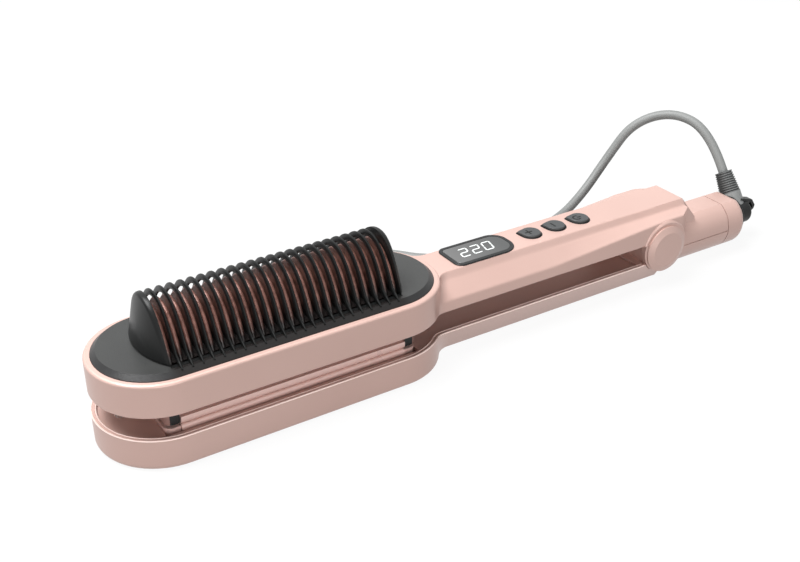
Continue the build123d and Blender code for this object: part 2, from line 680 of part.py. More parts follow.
# lower shell: head bowl, narrow-bottomed handle and the hinge knuckle
scoop = ear_low_radius + hinge_gap
cavity_end = hinge_x - scoop - wall
with BuildPart() as lower_shell:
    extrude(head_slot(0), lower_height)
    extrude(lower_section(rear_x), hinge_x + arm_past_hinge - rear_x)
    necks = [e for e in lower_shell.edges() if rear_x + 5 < e.center().X < rear_x + head_radius
             and handle_width / 4 < abs(e.center().Y) < head_radius and 2 < e.center().Z < lower_height - 2]
    print("lower neck edges", len(necks))
    fillet(necks, neck_radius)
    fillet(lower_shell.faces().sort_by(Axis.Z)[0].outer_wire().edges().filter_by(
        lambda e: e.center().X < hinge_x - 20), foot_rounding)
    fillet(lower_shell.faces().sort_by(Axis.Z)[-1].outer_wire().edges().filter_by(
        lambda e: e.center().X < hinge_x - 20), edge_rounding)
    for y in (ear_out + 3, -knuckle_half):
        with BuildSketch(hinge_plane(y)):
            Circle(scoop)
        extrude(amount=ear_out + 3 - knuckle_half, mode=Mode.SUBTRACT)
    with BuildSketch(hinge_plane(knuckle_half)):
        Circle(knuckle_radius)
    extrude(amount=2 * knuckle_half)
    extrude(head_slot(wall, rim_wall), lower_height, mode=Mode.SUBTRACT)
    extrude(lower_section(rear_x, rim_wall, wall), cavity_end - rear_x, mode=Mode.SUBTRACT)
    with BuildSketch(hinge_plane(knuckle_half)):
        Circle(pin_radius + pin_clearance)
    extrude(amount=2 * knuckle_half, mode=Mode.SUBTRACT)
    # posts: one under each cover screw, four under the plate's carrier
    with BuildSketch(Plane.XY.offset(wall)):
        with Locations(*[(x, 0) for x in lower_screws]):
            Circle(post_radius)
    extrude(amount=lower_cover_z - wall)
    with BuildSketch(Plane.XY.offset(lower_cover_z + cover_thickness - screw_length)):
        with Locations(*[(x, 0) for x in lower_screws]):
            Circle(screw_radius)
    extrude(amount=screw_length, mode=Mode.SUBTRACT)
    with BuildSketch(Plane.XY.offset(wall)):
        with Locations((plate_x, 0)):
            with GridLocations(plate_length - 2 * post_margin, plate_width - 2 * support_inset, 2, 2):
                Circle(3.0)
    extrude(amount=carrier_lift)
print("lower shell", lower_shell.part.is_valid, len(lower_shell.part.solids()), round(lower_shell.part.volume))
lower_shell.part.label = "lower_shell"
export_step(lower_shell.part, "parts/lower_shell.step")

# inner cover of the lower arm
with BuildPart() as lower_cover:
    extrude(head_slot(lower_cover_z, rim_wall + fit_gap / 2), cover_thickness)
    extrude(lower_section(rear_x, rim_wall + fit_gap / 2, lower_cover_z, lower_cover_z + cover_thickness),
            cavity_end - fit_gap - rear_x)
    extrude(ring_of(plate_x - carrier_half - fit_gap, plate_x + carrier_half + fit_gap, lower_cover_z, opening_half),
            cover_thickness, mode=Mode.SUBTRACT)
    with BuildSketch(Plane.XY.offset(lower_cover_z)):
        with Locations(*[(x, 0) for x in lower_screws]):
            Circle(screw_radius)
    extrude(amount=cover_thickness, mode=Mode.SUBTRACT)
    with BuildSketch(Plane.XY.offset(lower_cover_z + cover_thickness / 2)):
        with Locations(*[(x, 0) for x in lower_screws]):
            Circle(screw_head_radius + 0.1)
    extrude(amount=cover_thickness / 2, mode=Mode.SUBTRACT)
lower_cover.part.label = "lower_cover"
export_step(lower_cover.part, "parts/lower_cover.step")

# black carrier of the lower plate: a tray whose side walls end below the floating plate
tray_z = wall + carrier_lift
wall_top = plate_z - plate_thickness - plate_travel - 0.4
with BuildPart() as lower_carrier:
    extrude(ring_of(plate_x - carrier_half, plate_x + carrier_half, tray_z, plate_width / 2 - 0.6),
            plate_z - 0.5 - tray_z)
    fillet(lower_carrier.edges().filter_by(Axis.Z), 3.0)
    extrude(ring_of(plate_x - plate_length / 2 - fit_gap, plate_x + plate_length / 2 + fit_gap, wall_top,
                    plate_width), lower_height, mode=Mode.SUBTRACT)
    extrude(ring_of(plate_x - plate_length / 2 + 1, plate_x + plate_length / 2 - 1, tray_z + 1.2,
                    plate_width / 2 - 2.2), lower_height, mode=Mode.SUBTRACT)
print("lower carrier", lower_carrier.part.is_valid, len(lower_carrier.part.solids()))
lower_carrier.part.label = "lower_carrier"
export_step(lower_carrier.part, "parts/lower_carrier.step")

# springs under the floating lower plate
spring_z = tray_z + 1.2
with BuildPart() as plate_springs:
    with BuildSketch(Plane.XY.offset(spring_z)):
        with Locations((plate_x, 0)):
            with GridLocations(plate_length - 2 * spring_margin, plate_width - 2 * support_inset, 2, 2):
                Circle(spring_radius)
                Circle(spring_radius - 0.5, mode=Mode.SUBTRACT)
    extrude(amount=plate_z - plate_thickness - spring_gap - spring_z)
plate_springs.part.label = "plate_springs"
export_step(plate_springs.part, "parts/plate_springs.step")

# screws: three in each cover
for name, places, seat, turn in (
    ("upper_cover_screws", upper_screws, cover_z + cover_thickness / 2, 1),
    ("lower_cover_screws", lower_screws, lower_cover_z + cover_thickness / 2, -1),
):
    with BuildPart() as screws:
        with BuildSketch(Plane.XY.offset(seat)):
            with Locations(*[(x, 0) for x in places]):
                Circle(screw_radius - 0.02)
        extrude(amount=turn * (screw_length - cover_thickness / 2))
        with BuildSketch(Plane.XY.offset(seat)):
            with Locations(*[(x, 0) for x in places]):
                Circle(screw_head_radius)
        extrude(amount=-turn * cover_thickness / 2)
        with BuildSketch(Plane.XY.offset(seat - turn * cover_thickness / 2)):
            with Locations(*[(x, 0) for x in places]):
                Rectangle(2.4, 0.5)
                Rectangle(0.5, 2.4)
        extrude(amount=turn * 0.5, mode=Mode.SUBTRACT)
    screws.part.label = name
    export_step(screws.part, "parts/" + name + ".step")

# display: dark frame set into the plateau, glass in the frame, light module under it
frame_z = top_z - wall
with BuildPart() as display_frame:
    extrude(display_outline(frame_z, -1.0), wall)
    extrude(display_outline(top_z), display_rise)
    fillet(display_frame.faces().sort_by(Axis.Z)[-1].outer_wire().edges(), 0.3)
    extrude(display_outline(top_z - 0.6, -glass_margin), display_rise + 0.7, mode=Mode.SUBTRACT)
    extrude(display_outline(frame_z, -glass_margin - 1.2), wall + 1, mode=Mode.SUBTRACT)
display_frame.part.label = "display_frame"
export_step(display_frame.part, "parts/display_frame.step")

with BuildPart() as display_glass:
    extrude(display_outline(top_z - 0.6, -glass_margin), 0.6 + display_rise)
    fillet(display_glass.faces().sort_by(Axis.Z)[-1].outer_wire().edges(), 0.3)
display_glass.part.label = "display_glass"
export_step(display_glass.part, "parts/display_glass.step")

with BuildPart() as display_module:
    extrude(ring_of(display_x - 9.5, display_x + 9.5, board_z + board_thickness, 5.0),
            top_z - 0.6 - board_z - board_thickness)
display_module.part.label = "display_module"
export_step(display_module.part, "parts/display_module.step")

with BuildPart() as control_board:
    extrude(ring_of(display_x - 13, button_x[2] + 8, board_z, board_half), board_thickness)
control_board.part.label = "control_board"
export_step(control_board.part, "parts/control_board.step")

# two ribs on the inner cover hold the board up
with BuildPart() as board_supports:
    for x in (display_x - 10, button_x[2] + 5):
        extrude(ring_of(x - 1.5, x + 1.5, cover_z + cover_thickness, board_half - 1.5),
                board_z - cover_z - cover_thickness)
board_supports.part.label = "board_supports"
export_step(board_supports.part, "parts/board_supports.step")

with BuildPart() as button_switches:
    for x in button_x:
        extrude(ring_of(x - 2.6, x + 2.6, board_z + board_thickness, 2.6), switch_height - button_travel - 0.5)
        with BuildSketch(Plane.XY.offset(board_z + board_thickness)):
            with Locations((x, 0)):
                Circle(1.2)
        extrude(amount=switch_height - button_travel - 0.15)
button_switches.part.label = "button_switches"
export_step(button_switches.part, "parts/button_switches.step")

# three sprung buttons, each kept in by a flange under the shell
for name, x in zip(("plus_button", "minus_button", "power_button"), button_x):
    with BuildPart() as button:
        extrude(teardrop(x, top_z - wall - 0.3), wall + 0.3 + button_rise)
        fillet(button.faces().sort_by(Axis.Z)[-1].outer_wire().edges(), 0.5)
        extrude(teardrop(x, top_z - wall - button_depth, 0.8), button_depth - 0.3)
    button.part.label = name
    export_step(button.part, "parts/" + name + ".step")

# hinge: pin through the ears and the knuckle, and a bevelled disc over each end
with BuildPart() as hinge_pin:
    with BuildSketch(hinge_plane(ear_out)):
        Circle(pin_radius)
    extrude(amount=2 * ear_out)
hinge_pin.part.label = "hinge_pin"
export_step(hinge_pin.part, "parts/hinge_pin.step")

for name, y, turn in (("near_disc", -ear_out, 1), ("far_disc", ear_out, -1)):
    with BuildPart() as disc:
        with BuildSketch(hinge_plane(y)):
            Circle(disc_radius)
        extrude(amount=turn * disc_edge)
        with BuildSketch(hinge_plane(y - turn * disc_edge)):
            Circle(disc_radius)
        with BuildSketch(hinge_plane(y - turn * disc_thickness)):
            Circle(disc_face_radius)
        loft(ruled=True)
    disc.part.label = name
    export_step(disc.part, "parts/" + name + ".step")

# swivel: shaft with a keeper inside the end cap, a round plate and a barrel behind it, and the grey elbow
lean = radians(elbow_lean)
ELBOW = Plane((elbow_x, 0, collar_z), x_dir=(1, 0, 0), z_dir=(0, sin(lean), cos(lean)))
with BuildPart() as swivel_base:
    with BuildSketch(across(swivel_x)):
        with Locations((0, collar_z)):
            Circle(swivel_radius)
    extrude(amount=swivel_plate)
    fillet(swivel_base.faces().sort_by(Axis.X)[-1].outer_wire().edges(), 0.6)
    with BuildSketch(across(swivel_x + swivel_plate)):
        with Locations((0, collar_z)):
            Circle(barrel_radius)
    extrude(amount=barrel_length)
    fillet(swivel_base.faces().sort_by(Axis.X)[-1].outer_wire().edges(), 1.5)
    with BuildSketch(across(swivel_x)):
        with Locations((0, collar_z)):
            Circle(shaft_radius)
    extrude(amount=-(swivel_gap + end_wall + keeper_gap + keeper_thickness))
    with BuildSketch(across(swivel_x - swivel_gap - end_wall - keeper_gap)):
        with Locations((0, collar_z)):
            Circle(shaft_radius + 1.6)
    extrude(amount=-keeper_thickness)
swivel_base.part.label = "swivel_base"
export_step(swivel_base.part, "parts/swivel_base.step")

with BuildPart() as cord_elbow:
    with BuildSketch(ELBOW.offset(elbow_start)):
        Circle(elbow_radius)
    extrude(amount=elbow_reach - elbow_start)
    add(swivel_base.part, mode=Mode.SUBTRACT)
cord_elbow.part.label = "cord_elbow"
export_step(cord_elbow.part, "parts/cord_elbow.step")

# ribbed boot: a short cone with grooves round it, turned about its own axis
boot_plane = Plane(ELBOW.origin + ELBOW.z_dir * elbow_reach, x_dir=(1, 0, 0), z_dir=-ELBOW.y_dir)
rib_step = boot_length / (boot_ribs - 0.4)
with BuildPart() as strain_relief:
    with BuildSketch(boot_plane):
        with BuildLine():
            outline = [(0.0, 0.0)]
            for i in range(boot_ribs):
                r = boot_root_radius + (boot_tip_radius - boot_root_radius) * i / (boot_ribs - 1)
                outline += [(r, i * rib_step), (r, (i + 0.6) * rib_step), (r - rib_depth, (i + 0.6) * rib_step),
                            (r - rib_depth, (i + 1) * rib_step)]
            Polyline(*outline[:-2], (0.0, (boot_ribs - 0.4) * rib_step), close=True)
        make_face()
    revolve(axis=Axis(ELBOW.origin, ELBOW.z_dir))
print("strain relief", strain_relief.part.is_valid, strain_relief.part.bounding_box())
strain_relief.part.label = "strain_relief"
export_step(strain_relief.part, "parts/strain_relief.step")

# triangular hanging loop behind the elbow
loop_end = swivel_x + swivel_plate + loop_reach
with BuildPart() as hang_loop:
    with BuildSketch(side(loop_thickness / 2)) as triangle:
        with BuildLine():
            Polyline(
                (loop_end - 10.4, collar_z + 7.5), (loop_end - 2.5, collar_z + 5.3), (loop_end, collar_z + 1.8),
                (loop_end - 0.6, collar_z - 0.1), (loop_end - 6.8, collar_z - 2.7), (loop_end - 10.4, collar_z - 2.7),
                close=True,
            )
        make_face()
        fillet(triangle.vertices(), 0.9)
        offset(amount=-loop_bar, kind=Kind.INTERSECTION, mode=Mode.SUBTRACT)
    extrude(amount=loop_thickness)
    add(cord_elbow.part, mode=Mode.SUBTRACT)
    add(swivel_base.part, mode=Mode.SUBTRACT)
print("loop", hang_loop.part.is_valid, hang_loop.part.bounding_box())
hang_loop.part.label = "hang_loop"
export_step(hang_loop.part, "parts/hang_loop.step")

# cord: its free stretch leaves the boot, bends over and runs along the table to a tied hank
along = Vector(0, sin(lean), cos(lean))
exit_point = Vector(elbow_x, 0, collar_z) + along * (elbow_reach + boot_length + cord_gap)
floor_z = cord_radius + 0.1
hank_z = 0.05 + tie_thickness + tie_gap + cord_radius
outer_offset = hank_inner + hank_runs * hank_step / 2
hank_start = Vector(hank_x + hank_run / 2, hank_y + outer_offset, hank_z)
cord_route = [
    exit_point, exit_point + along * 20, (elbow_x - 7.2, 40.4, 51.1), (elbow_x - 20.3, 53.6, 43.6),
    (elbow_x - 30.4, 58.3, 25.8), (elbow_x - 45.2, 57.0, 11.0), (elbow_x - 63.7, 52.5, 3.4),
    (elbow_x - 89.7, 47.7, floor_z), (elbow_x - 115.7, 47.3, floor_z), (elbow_x - 138.7, 52.0, floor_z),
    (elbow_x - 152.7, 69.0, floor_z + 0.4), hank_start + Vector(13, 0, 0), hank_start,
]


def cord_path(points):
    """Straight runs joined by arcs as large as the runs allow; prints their radii."""
    points = [Vector(*p) if isinstance(p, tuple) else p for p in points]
    runs = [b - a for a, b in zip(points, points[1:])]
    radii = []
    for first, second in zip(runs, runs[1:]):
        turn = radians(first.get_angle(second))
        radii.append(0.45 * min(first.length, second.length) / tan(turn / 2))
    print("runs", [round(r.length, 1) for r in runs], "radii", [round(r, 1) for r in radii])
    with BuildLine() as path:
        FilletPolyline(*points, radius=radii)
    return path.wires()[0]


def tube(path, radius=cord_radius):
    """A round cord swept along a path."""
    with BuildPart() as swept:
        with BuildSketch(Plane(path @ 0, z_dir=path % 0)):
            Circle(radius)
        sweep(path=path)
    print("length", round(path.length, 1), "volume ratio", swept.part.volume / (pi * radius**2 * path.length),
          "lowest", round(swept.part.bounding_box().min.Z, 2), swept.part.is_valid)
    return swept.part


cord_lead = tube(cord_path(cord_route))
cord_lead.label = "cord_lead"
export_step(cord_lead, "parts/cord_lead.step")

# hank: loops spiral in on the lower layer, climb along the innermost run and spiral out on top of it
offsets = [outer_offset - i * hank_step / 2 for i in range(hank_runs + 1)]
offsets += offsets[-2:0:-1]


def bend(start, end, heading):
    """Two equal arcs that leave and arrive with the same heading."""
    middle = (start + end) / 2
    first = TangentArc(start, middle, tangent=heading)
    return [first, TangentArc(middle, end, tangent=first % 1)]


def hank_arcs():
    """The hank's runs and turns in order, drawn in at the tie."""
    arcs = []
    for i, offset in enumerate(offsets):
        sign = 1 if i % 2 == 0 else -1
        heading = Vector(-sign, 0, 0)
        low = hank_z if i <= hank_runs else hank_z + layer_step
        high = hank_z if i < hank_runs else hank_z + layer_step
        waist = hank_waist + (offset - hank_inner) * 1.03
        start = Vector(hank_x + sign * hank_run / 2, hank_y + sign * offset, low)
        middle = Vector(hank_x, hank_y + sign * waist, (low + high) / 2)
        end = Vector(hank_x - sign * hank_run / 2, hank_y + sign * offset, high)
        arcs += bend(start, middle, heading) + bend(middle, end, heading)
        if i + 1 < len(offsets):
            across_end = Vector(end.X, hank_y - sign * offsets[i + 1], high)
            arcs.append(TangentArc(end, across_end, tangent=heading))
    return arcs


with BuildLine() as hank_line:
    for arc in hank_arcs():
        add(arc)
hank_path = hank_line.wires()[0]
cord_hank = tube(hank_path)
samples = [hank_path @ (i / 2400) for i in range(2401)]
spacing = hank_path.length / 2400
skip = int(3 * cord_radius / spacing) + 1
closest = min((samples[i] - samples[j]).length for i in range(0, 2401, 4) for j in range(i + skip, 2401, 2))
print("hank: strands", len(offsets), "least gap to itself", round(closest - 2 * cord_radius, 2))
cord_hank.label = "cord_hank"
export_step(cord_hank, "parts/cord_hank.step")

# tail from the hank's last loop to the plug, and the flat plug with two round pins
hank_end = hank_path @ 1
plug_x = hank_end.X + tail_length
plug_z = plug_height / 2 + 0.1
plug_y = hank_end.Y + 1.9
tail_route = [
    hank_end, hank_end + Vector(tail_length * 0.26, 0, 0), Vector(plug_x - tail_length * 0.26, plug_y, plug_z),
    Vector(plug_x, plug_y, plug_z),
]
cord_tail = tube(cord_path(tail_route))
cord_tail.label = "cord_tail"
export_step(cord_tail, "parts/cord_tail.step")
print("cord length", round(cord_path(cord_route).length + hank_path.length + cord_path(tail_route).length, 1))

# tie: a flat band round the hank's waist
waist_out = hank_waist + (outer_offset - hank_inner) * 1.03 + cord_radius + tie_gap
tie_top = 2 * cord_radius + layer_step + 2 * tie_gap
with BuildPart() as hank_tie:
    with BuildSketch(across(hank_x - tie_width / 2)) as band:
        with Locations((hank_y, hank_z - cord_radius - tie_gap + tie_top / 2)):
            RectangleRounded(2 * (waist_out + tie_thickness), tie_top + 2 * tie_thickness, 2.4)
            RectangleRounded(2 * waist_out, tie_top, 1.6, mode=Mode.SUBTRACT)
    extrude(amount=tie_width)
hank_tie.part.label = "hank_tie"
export_step(hank_tie.part, "parts/hank_tie.step")

with BuildPart() as plug_body:
    with BuildSketch(across(plug_x)):
        with Locations((plug_y, plug_z)):
            RectangleRounded(plug_width * 0.42, plug_height * 0.72, 3.0)
    with BuildSketch(across(plug_x + plug_length * 0.4)):
        with Locations((plug_y, plug_z)):
            RectangleRounded(plug_width, plug_height, 4.0)
    loft()
    with BuildSketch(across(plug_x + plug_length * 0.4)):
        with Locations((plug_y, plug_z)):
            RectangleRounded(plug_width, plug_height, 4.0)
    extrude(amount=plug_length * 0.6)
    with BuildSketch(across(plug_x + plug_length - 6)):
        with Locations((plug_y, plug_z)):
            with GridLocations(plug_pin_spacing, 1, 2, 1):
                Circle(plug_pin_radius)
    extrude(amount=6, mode=Mode.SUBTRACT)
print("plug", plug_body.part.is_valid, plug_body.part.bounding_box())
plug_body.part.label = "plug_body"
export_step(plug_body.part, "parts/plug_body.step")

with BuildPart() as plug_pins:
    with BuildSketch(across(plug_x + plug_length - 6)):
        with Locations((plug_y, plug_z)):
            with GridLocations(plug_pin_spacing, 1, 2, 1):
                Circle(plug_pin_radius)
    extrude(amount=6 + plug_pin_length)
    fillet(plug_pins.faces().group_by(Axis.X)[-1].edges(), 1.2)
plug_pins.part.label = "plug_pins"
export_step(plug_pins.part, "parts/plug_pins.step")

# inner lead: from the swivel's shaft up through the hood to the control board
lead_z = top_z - wall - inner_lead_radius - 0.5
lead_y = post_radius + inner_lead_radius + 1.6
board_end = button_x[2] + 8
lead_path = cord_path([
    (swivel_x - swivel_gap - end_wall - keeper_gap - keeper_thickness - cord_gap, 0, collar_z),
    (hinge_x + hood_foot + 1, 0, collar_z), (hinge_x + hood_flat + 1.8, 0, collar_z + 9.3),
    (hinge_x + hood_flat - 5.2, 0, lead_z), (hinge_x - 7, 0, lead_z),
    (hinge_x - 19, lead_y, board_z + board_thickness / 2), (board_end, lead_y, board_z + board_thickness / 2),
])
inner_lead = tube(lead_path, inner_lead_radius)
inner_lead.label = "inner_lead"
export_step(inner_lead, "parts/inner_lead.step")
print("overall", overall, "tip", tip, "hinge", hinge_x, "loop end", loop_end)
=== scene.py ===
# %% [markdown]
# # A hair straightener with a heated comb
# The tool lies closed on a white table: two rose-painted arms on a hinge, a black comb guard with
# copper fins on top, a small display, three buttons, and a grey cord on a turning elbow. The solid
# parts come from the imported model. This script gives them their finishes and adds the pieces whose
# looks need finer surfaces: blades, fins, caps, polished edges, digits, marks, springs and the
# cord.

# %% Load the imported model
from math import cos, pi, radians, sin

import bpy
import numpy as np
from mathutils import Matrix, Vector


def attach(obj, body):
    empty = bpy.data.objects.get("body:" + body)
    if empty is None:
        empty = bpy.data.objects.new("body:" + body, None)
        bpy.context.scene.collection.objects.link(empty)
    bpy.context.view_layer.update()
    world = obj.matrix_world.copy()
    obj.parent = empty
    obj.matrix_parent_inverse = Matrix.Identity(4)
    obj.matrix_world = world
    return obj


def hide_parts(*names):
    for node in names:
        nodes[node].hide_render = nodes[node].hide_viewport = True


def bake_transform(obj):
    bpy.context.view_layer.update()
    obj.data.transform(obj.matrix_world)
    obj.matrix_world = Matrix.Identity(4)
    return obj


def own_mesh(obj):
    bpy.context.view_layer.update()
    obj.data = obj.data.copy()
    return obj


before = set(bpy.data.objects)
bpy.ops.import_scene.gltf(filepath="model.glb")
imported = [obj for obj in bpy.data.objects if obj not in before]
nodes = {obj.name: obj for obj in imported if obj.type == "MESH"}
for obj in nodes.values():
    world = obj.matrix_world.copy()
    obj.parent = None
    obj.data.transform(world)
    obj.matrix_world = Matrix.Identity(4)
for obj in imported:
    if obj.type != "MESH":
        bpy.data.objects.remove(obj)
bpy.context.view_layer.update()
MM = 0.001
scene = bpy.context.scene
scene.view_settings.view_transform = "Standard"

# %% [markdown]
# ## The camera
# The photograph looks down from the front left with a mild telephoto lens. Place, turn and focal
# length were found by matching the outlines of the head, the comb and the collar, so that the
# render lies over the photograph.

# %% Camera
view = bpy.data.cameras.new("photo_view")
view.lens, view.sensor_width, view.clip_start = 51.19, 36.0, 0.01
camera = bpy.data.objects.new("photo_view", view)
camera.location = (-0.24353, -0.32517, 0.2448)
camera.rotation_euler = (radians(60.9), 0, radians(-32.3))
scene.collection.objects.link(camera)
scene.camera = camera

# %% [markdown]
# ## The cord's line
# A mains lead is a fixed length of something springy. It leaves the boot upwards, bends over behind
# the handle, comes down to the table and runs to a neat hank, which lies hidden behind the tool.
# Its line is one smooth spline. The first points are listed. The hank's points are worked
# out: each strand has four points drawn in at the tie, and each end turn has four points on a
# circle.

# %% Points of the free stretch, in millimetres
CORD = 4.4 * MM
LEAD = [
    (149.7, 11.36, 28.78), (149.7, 22.65, 45.28), (142.5, 40.4, 51.1), (129.4, 53.6, 43.6),
    (119.3, 58.3, 25.8), (104.5, 57.0, 11.0), (86.0, 52.5, 3.4), (60.0, 47.7, 2.3),
    (34.0, 47.3, 2.3), (11.0, 52.0, 2.3), (-3.0, 69.0, 2.7), (-16.5, 75.0, 3.2),
]
TAIL = [(-18.06, 28.5, 8.1), (3.06, 30.4, 6.4), (14.5, 30.4, 6.4)]
# The hank: its middle, half its straight length, the height of its lower layer and the step up to
# the upper one, its points along a strand, and each strand's distance from the middle line.
HANK_CENTRE = np.array([-67.0, 50.5])
HANK_HALF, LOW, STEP = 37.5, 3.2, 4.9
STRAND_X = np.array([28.0, 9.4, -9.4, -28.0])
OFFSETS = [24.5, 22, 19.5, 17, 14.5, 12, 14.5, 17, 19.5, 22]
CLIMB = 5
# Under the tie, the inmost strand's distance, and how far each other strand keeps from it.
WAIST, KEPT = 6.6, 1.03


# %% Points of the hank
def strand_points(i):
    """Four points of strand i, from its starting end to its far end.

    Its side is +1 or -1 by turns. The outer two keep its distance from the middle line, and the
    inner two come in to waist = WAIST + KEPT * (distance - the least distance), where the tie
    holds it. Strand CLIMB rises from the lower layer to the upper one.
    """
    side, offset = (1, -1)[i % 2], OFFSETS[i]
    waist = WAIST + (offset - min(OFFSETS)) * KEPT
    across = np.array([offset, waist, waist, offset])
    risen = (HANK_HALF - STRAND_X) / (2 * HANK_HALF) if i == CLIMB else np.full(4, float(i > CLIMB))
    x = HANK_CENTRE[0] + side * STRAND_X
    y = HANK_CENTRE[1] + side * across
    return np.stack([x, y, LOW + STEP * risen], 1)


def turn_points(i):
    """Four points of the turn after strand i: a half circle at steps of 45 degrees.

    Its radius is the mean of the two strands' distances, and the points lie at radius / cos(22.5
    degrees), because a quadratic spline runs inside its points by just that much.
    """
    side, radius = (1, -1)[i % 2], (OFFSETS[i] + OFFSETS[i + 1]) / 2
    turn = np.radians([67.5, 22.5, -22.5, -67.5])
    reach = radius / cos(radians(22.5))
    middle = side * (OFFSETS[i] - OFFSETS[i + 1]) / 2
    x = HANK_CENTRE[0] - side * (HANK_HALF + reach * np.cos(turn))
    y = HANK_CENTRE[1] + middle + side * reach * np.sin(turn)
    return np.stack([x, y, np.full(4, LOW + STEP * (i >= CLIMB))], 1)


hank = [strand_points(0)]
for i in range(len(OFFSETS) - 1):
    hank += [turn_points(i), strand_points(i + 1)]
route = np.concatenate([np.array(LEAD), *hank, np.array(TAIL)]) * MM
print("cord points", len(route))

# %% [markdown]
# The spline is a NURBS curve of order 3. Blender works out its line, and the points read back from
# it carry the tube.

# %% Read the spline back
curve = bpy.data.curves.new("cord_line", "CURVE")
curve.dimensions, curve.resolution_u = "3D", 10
spline = curve.splines.new("NURBS")
spline.points.add(len(route) - 1)
spline.points.foreach_set("co", np.column_stack([route, np.ones(len(route))]).ravel())
spline.order_u = 3
spline.use_endpoint_u = True
line_object = bpy.data.objects.new("cord_line", curve)
scene.collection.objects.link(line_object)
bpy.context.view_layer.update()
line_mesh = bpy.data.meshes.new_from_object(line_object)
line = np.zeros(len(line_mesh.vertices) * 3)
line_mesh.vertices.foreach_get("co", line)
line = line.reshape(-1, 3)
bpy.data.objects.remove(line_object)
run = np.concatenate([[0.0], np.cumsum(np.linalg.norm(np.diff(line, axis=0), axis=1))])
print("cord length", round(run[-1], 4), "points", len(line))

# %% [markdown]
# ## Surfaces from grids
# Every new piece is a grid of points: a closed ring of points, carried along a path. One helper
# turns one grid, or many alike, into a mesh. The ends of each grid are closed by a flat face.


# %% Grid to mesh
def skin(name, grids, body=None, sharp=40, round_trip=False):
    """A mesh from an array (copies, along, around, 3): neighbours in the grid become faces.

    Point (c, i, j) has number (c * along + i) * around + j. Each face joins (i, j), (i, j + 1),
    (i + 1, j + 1) and (i + 1, j), where j counts round the ring. With round_trip the path closes
    on itself, and otherwise each end ring is one face.
    """
    grids = np.asarray(grids, float)
    grids = grids[None] if grids.ndim == 3 else grids
    copies, along, around = grids.shape[:3]
    number = np.arange(copies * along * around).reshape(copies, along, around)
    here = number if round_trip else number[:, :-1]
    after = np.roll(number, -1, axis=1) if round_trip else number[:, 1:]
    quads = np.stack([here, np.roll(here, -1, axis=2), np.roll(after, -1, axis=2), after], -1)
    faces = quads.reshape(-1, 4).tolist()
    if not round_trip:
        faces += number[:, 0, ::-1].tolist() + number[:, -1].tolist()
    mesh = bpy.data.meshes.new(name)
    mesh.from_pydata(grids.reshape(-1, 3).tolist(), [], faces)
    # The faces look outwards if the ring turns like a right-handed screw driven along the path.
    first = grids[0]
    ring = first[along // 2]
    centre = ring.mean(0)
    turn = np.cross(ring - centre, np.roll(ring, -1, axis=0) - centre).sum(0)
    ahead = first[(along // 2 + 1) % along].mean(0) - centre
    if np.dot(turn, ahead) < 0:
        mesh.flip_normals()
    mesh.shade_smooth()
    mesh.set_sharp_from_angle(angle=radians(sharp))
    piece = bpy.data.objects.new(name, mesh)
    scene.collection.objects.link(piece)
    if body:
        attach(piece, body)
    print(name, "faces", len(mesh.polygons))
    return piece


def oval(half_a, half_b, power, count):
    """Points (a, b) round a squared-off oval: |a / half_a|^power + |b / half_b|^power = 1."""
    turn = 2 * pi * np.arange(count) / count
    a, b = np.cos(turn), np.sin(turn)
    return (half_a * np.sign(a) * np.abs(a) ** (2 / power),
            half_b * np.sign(b) * np.abs(b) ** (2 / power))


def tube_along(points, radius, sides=18):
    """Rings round a line of points: each lies across the line's direction, turned to an upright.

    The upright leans a little, because it must never point along the line.
    """
    ahead = np.gradient(points, axis=0)
    ahead /= np.linalg.norm(ahead, axis=1)[:, None]
    reference = np.array([0.35, 0.12, 0.93])
    side = np.cross(ahead, reference)
    side /= np.linalg.norm(side, axis=1)[:, None]
    up = np.cross(side, ahead)
    turn = 2 * pi * np.arange(sides) / sides
    radius = np.broadcast_to(radius, len(points))
    spoke = side[:, None] * np.cos(turn)[:, None] + up[:, None] * np.sin(turn)[:, None]
    return points[:, None] + radius[:, None, None] * spoke


# %% [markdown]
# ## Two lengths of one cord
# The elbow turns on the upper arm, and the hank lies still beside the lower arm. So the cord is
# made in two lengths that meet end to end: the first between the elbow and the upper arm, and the
# second between the upper arm and the table. The first starts 2 mm inside the boot.

# %% Cord
SPLIT, ROOT = 68 * MM, 2 * MM
cut = int(np.searchsorted(run, SPLIT))
start_line, main_line = line[:cut + 1], line[cut:]
outwards = (line[1] - line[0]) / np.linalg.norm(line[1] - line[0])
rooted = np.vstack([line[0] - outwards * ROOT, start_line])
cord_start = skin("cord_start", tube_along(rooted, CORD / 2))
cord_main = skin("cord_main", tube_along(main_line, CORD / 2))
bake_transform(cord_start)
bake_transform(cord_main)
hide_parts("cord_lead", "cord_hank", "cord_tail")

# %% [markdown]
# ## Finishes
# Moulded and painted parts are never one flat colour: the paint is a little cloudy, the plastic has
# a fine grain, and the gloss of both varies from place to place. Two node groups hold what they
# share. `cloud` gives a slow mask for colour and gloss. `grain` gives a fine height for a Bump
# node. Each material places them with its own sizes.


# %% Node helpers
def new_group(name, inputs, outputs):
    """An empty node group with named number inputs and outputs."""
    group = bpy.data.node_groups.new(name, "ShaderNodeTree")
    for label, value in inputs.items():
        socket = group.interface.new_socket(label, in_out="INPUT", socket_type="NodeSocketFloat")
        socket.default_value = value
    for label in outputs:
        group.interface.new_socket(label, in_out="OUTPUT", socket_type="NodeSocketFloat")
    return group, group.nodes.new("NodeGroupInput"), group.nodes.new("NodeGroupOutput")


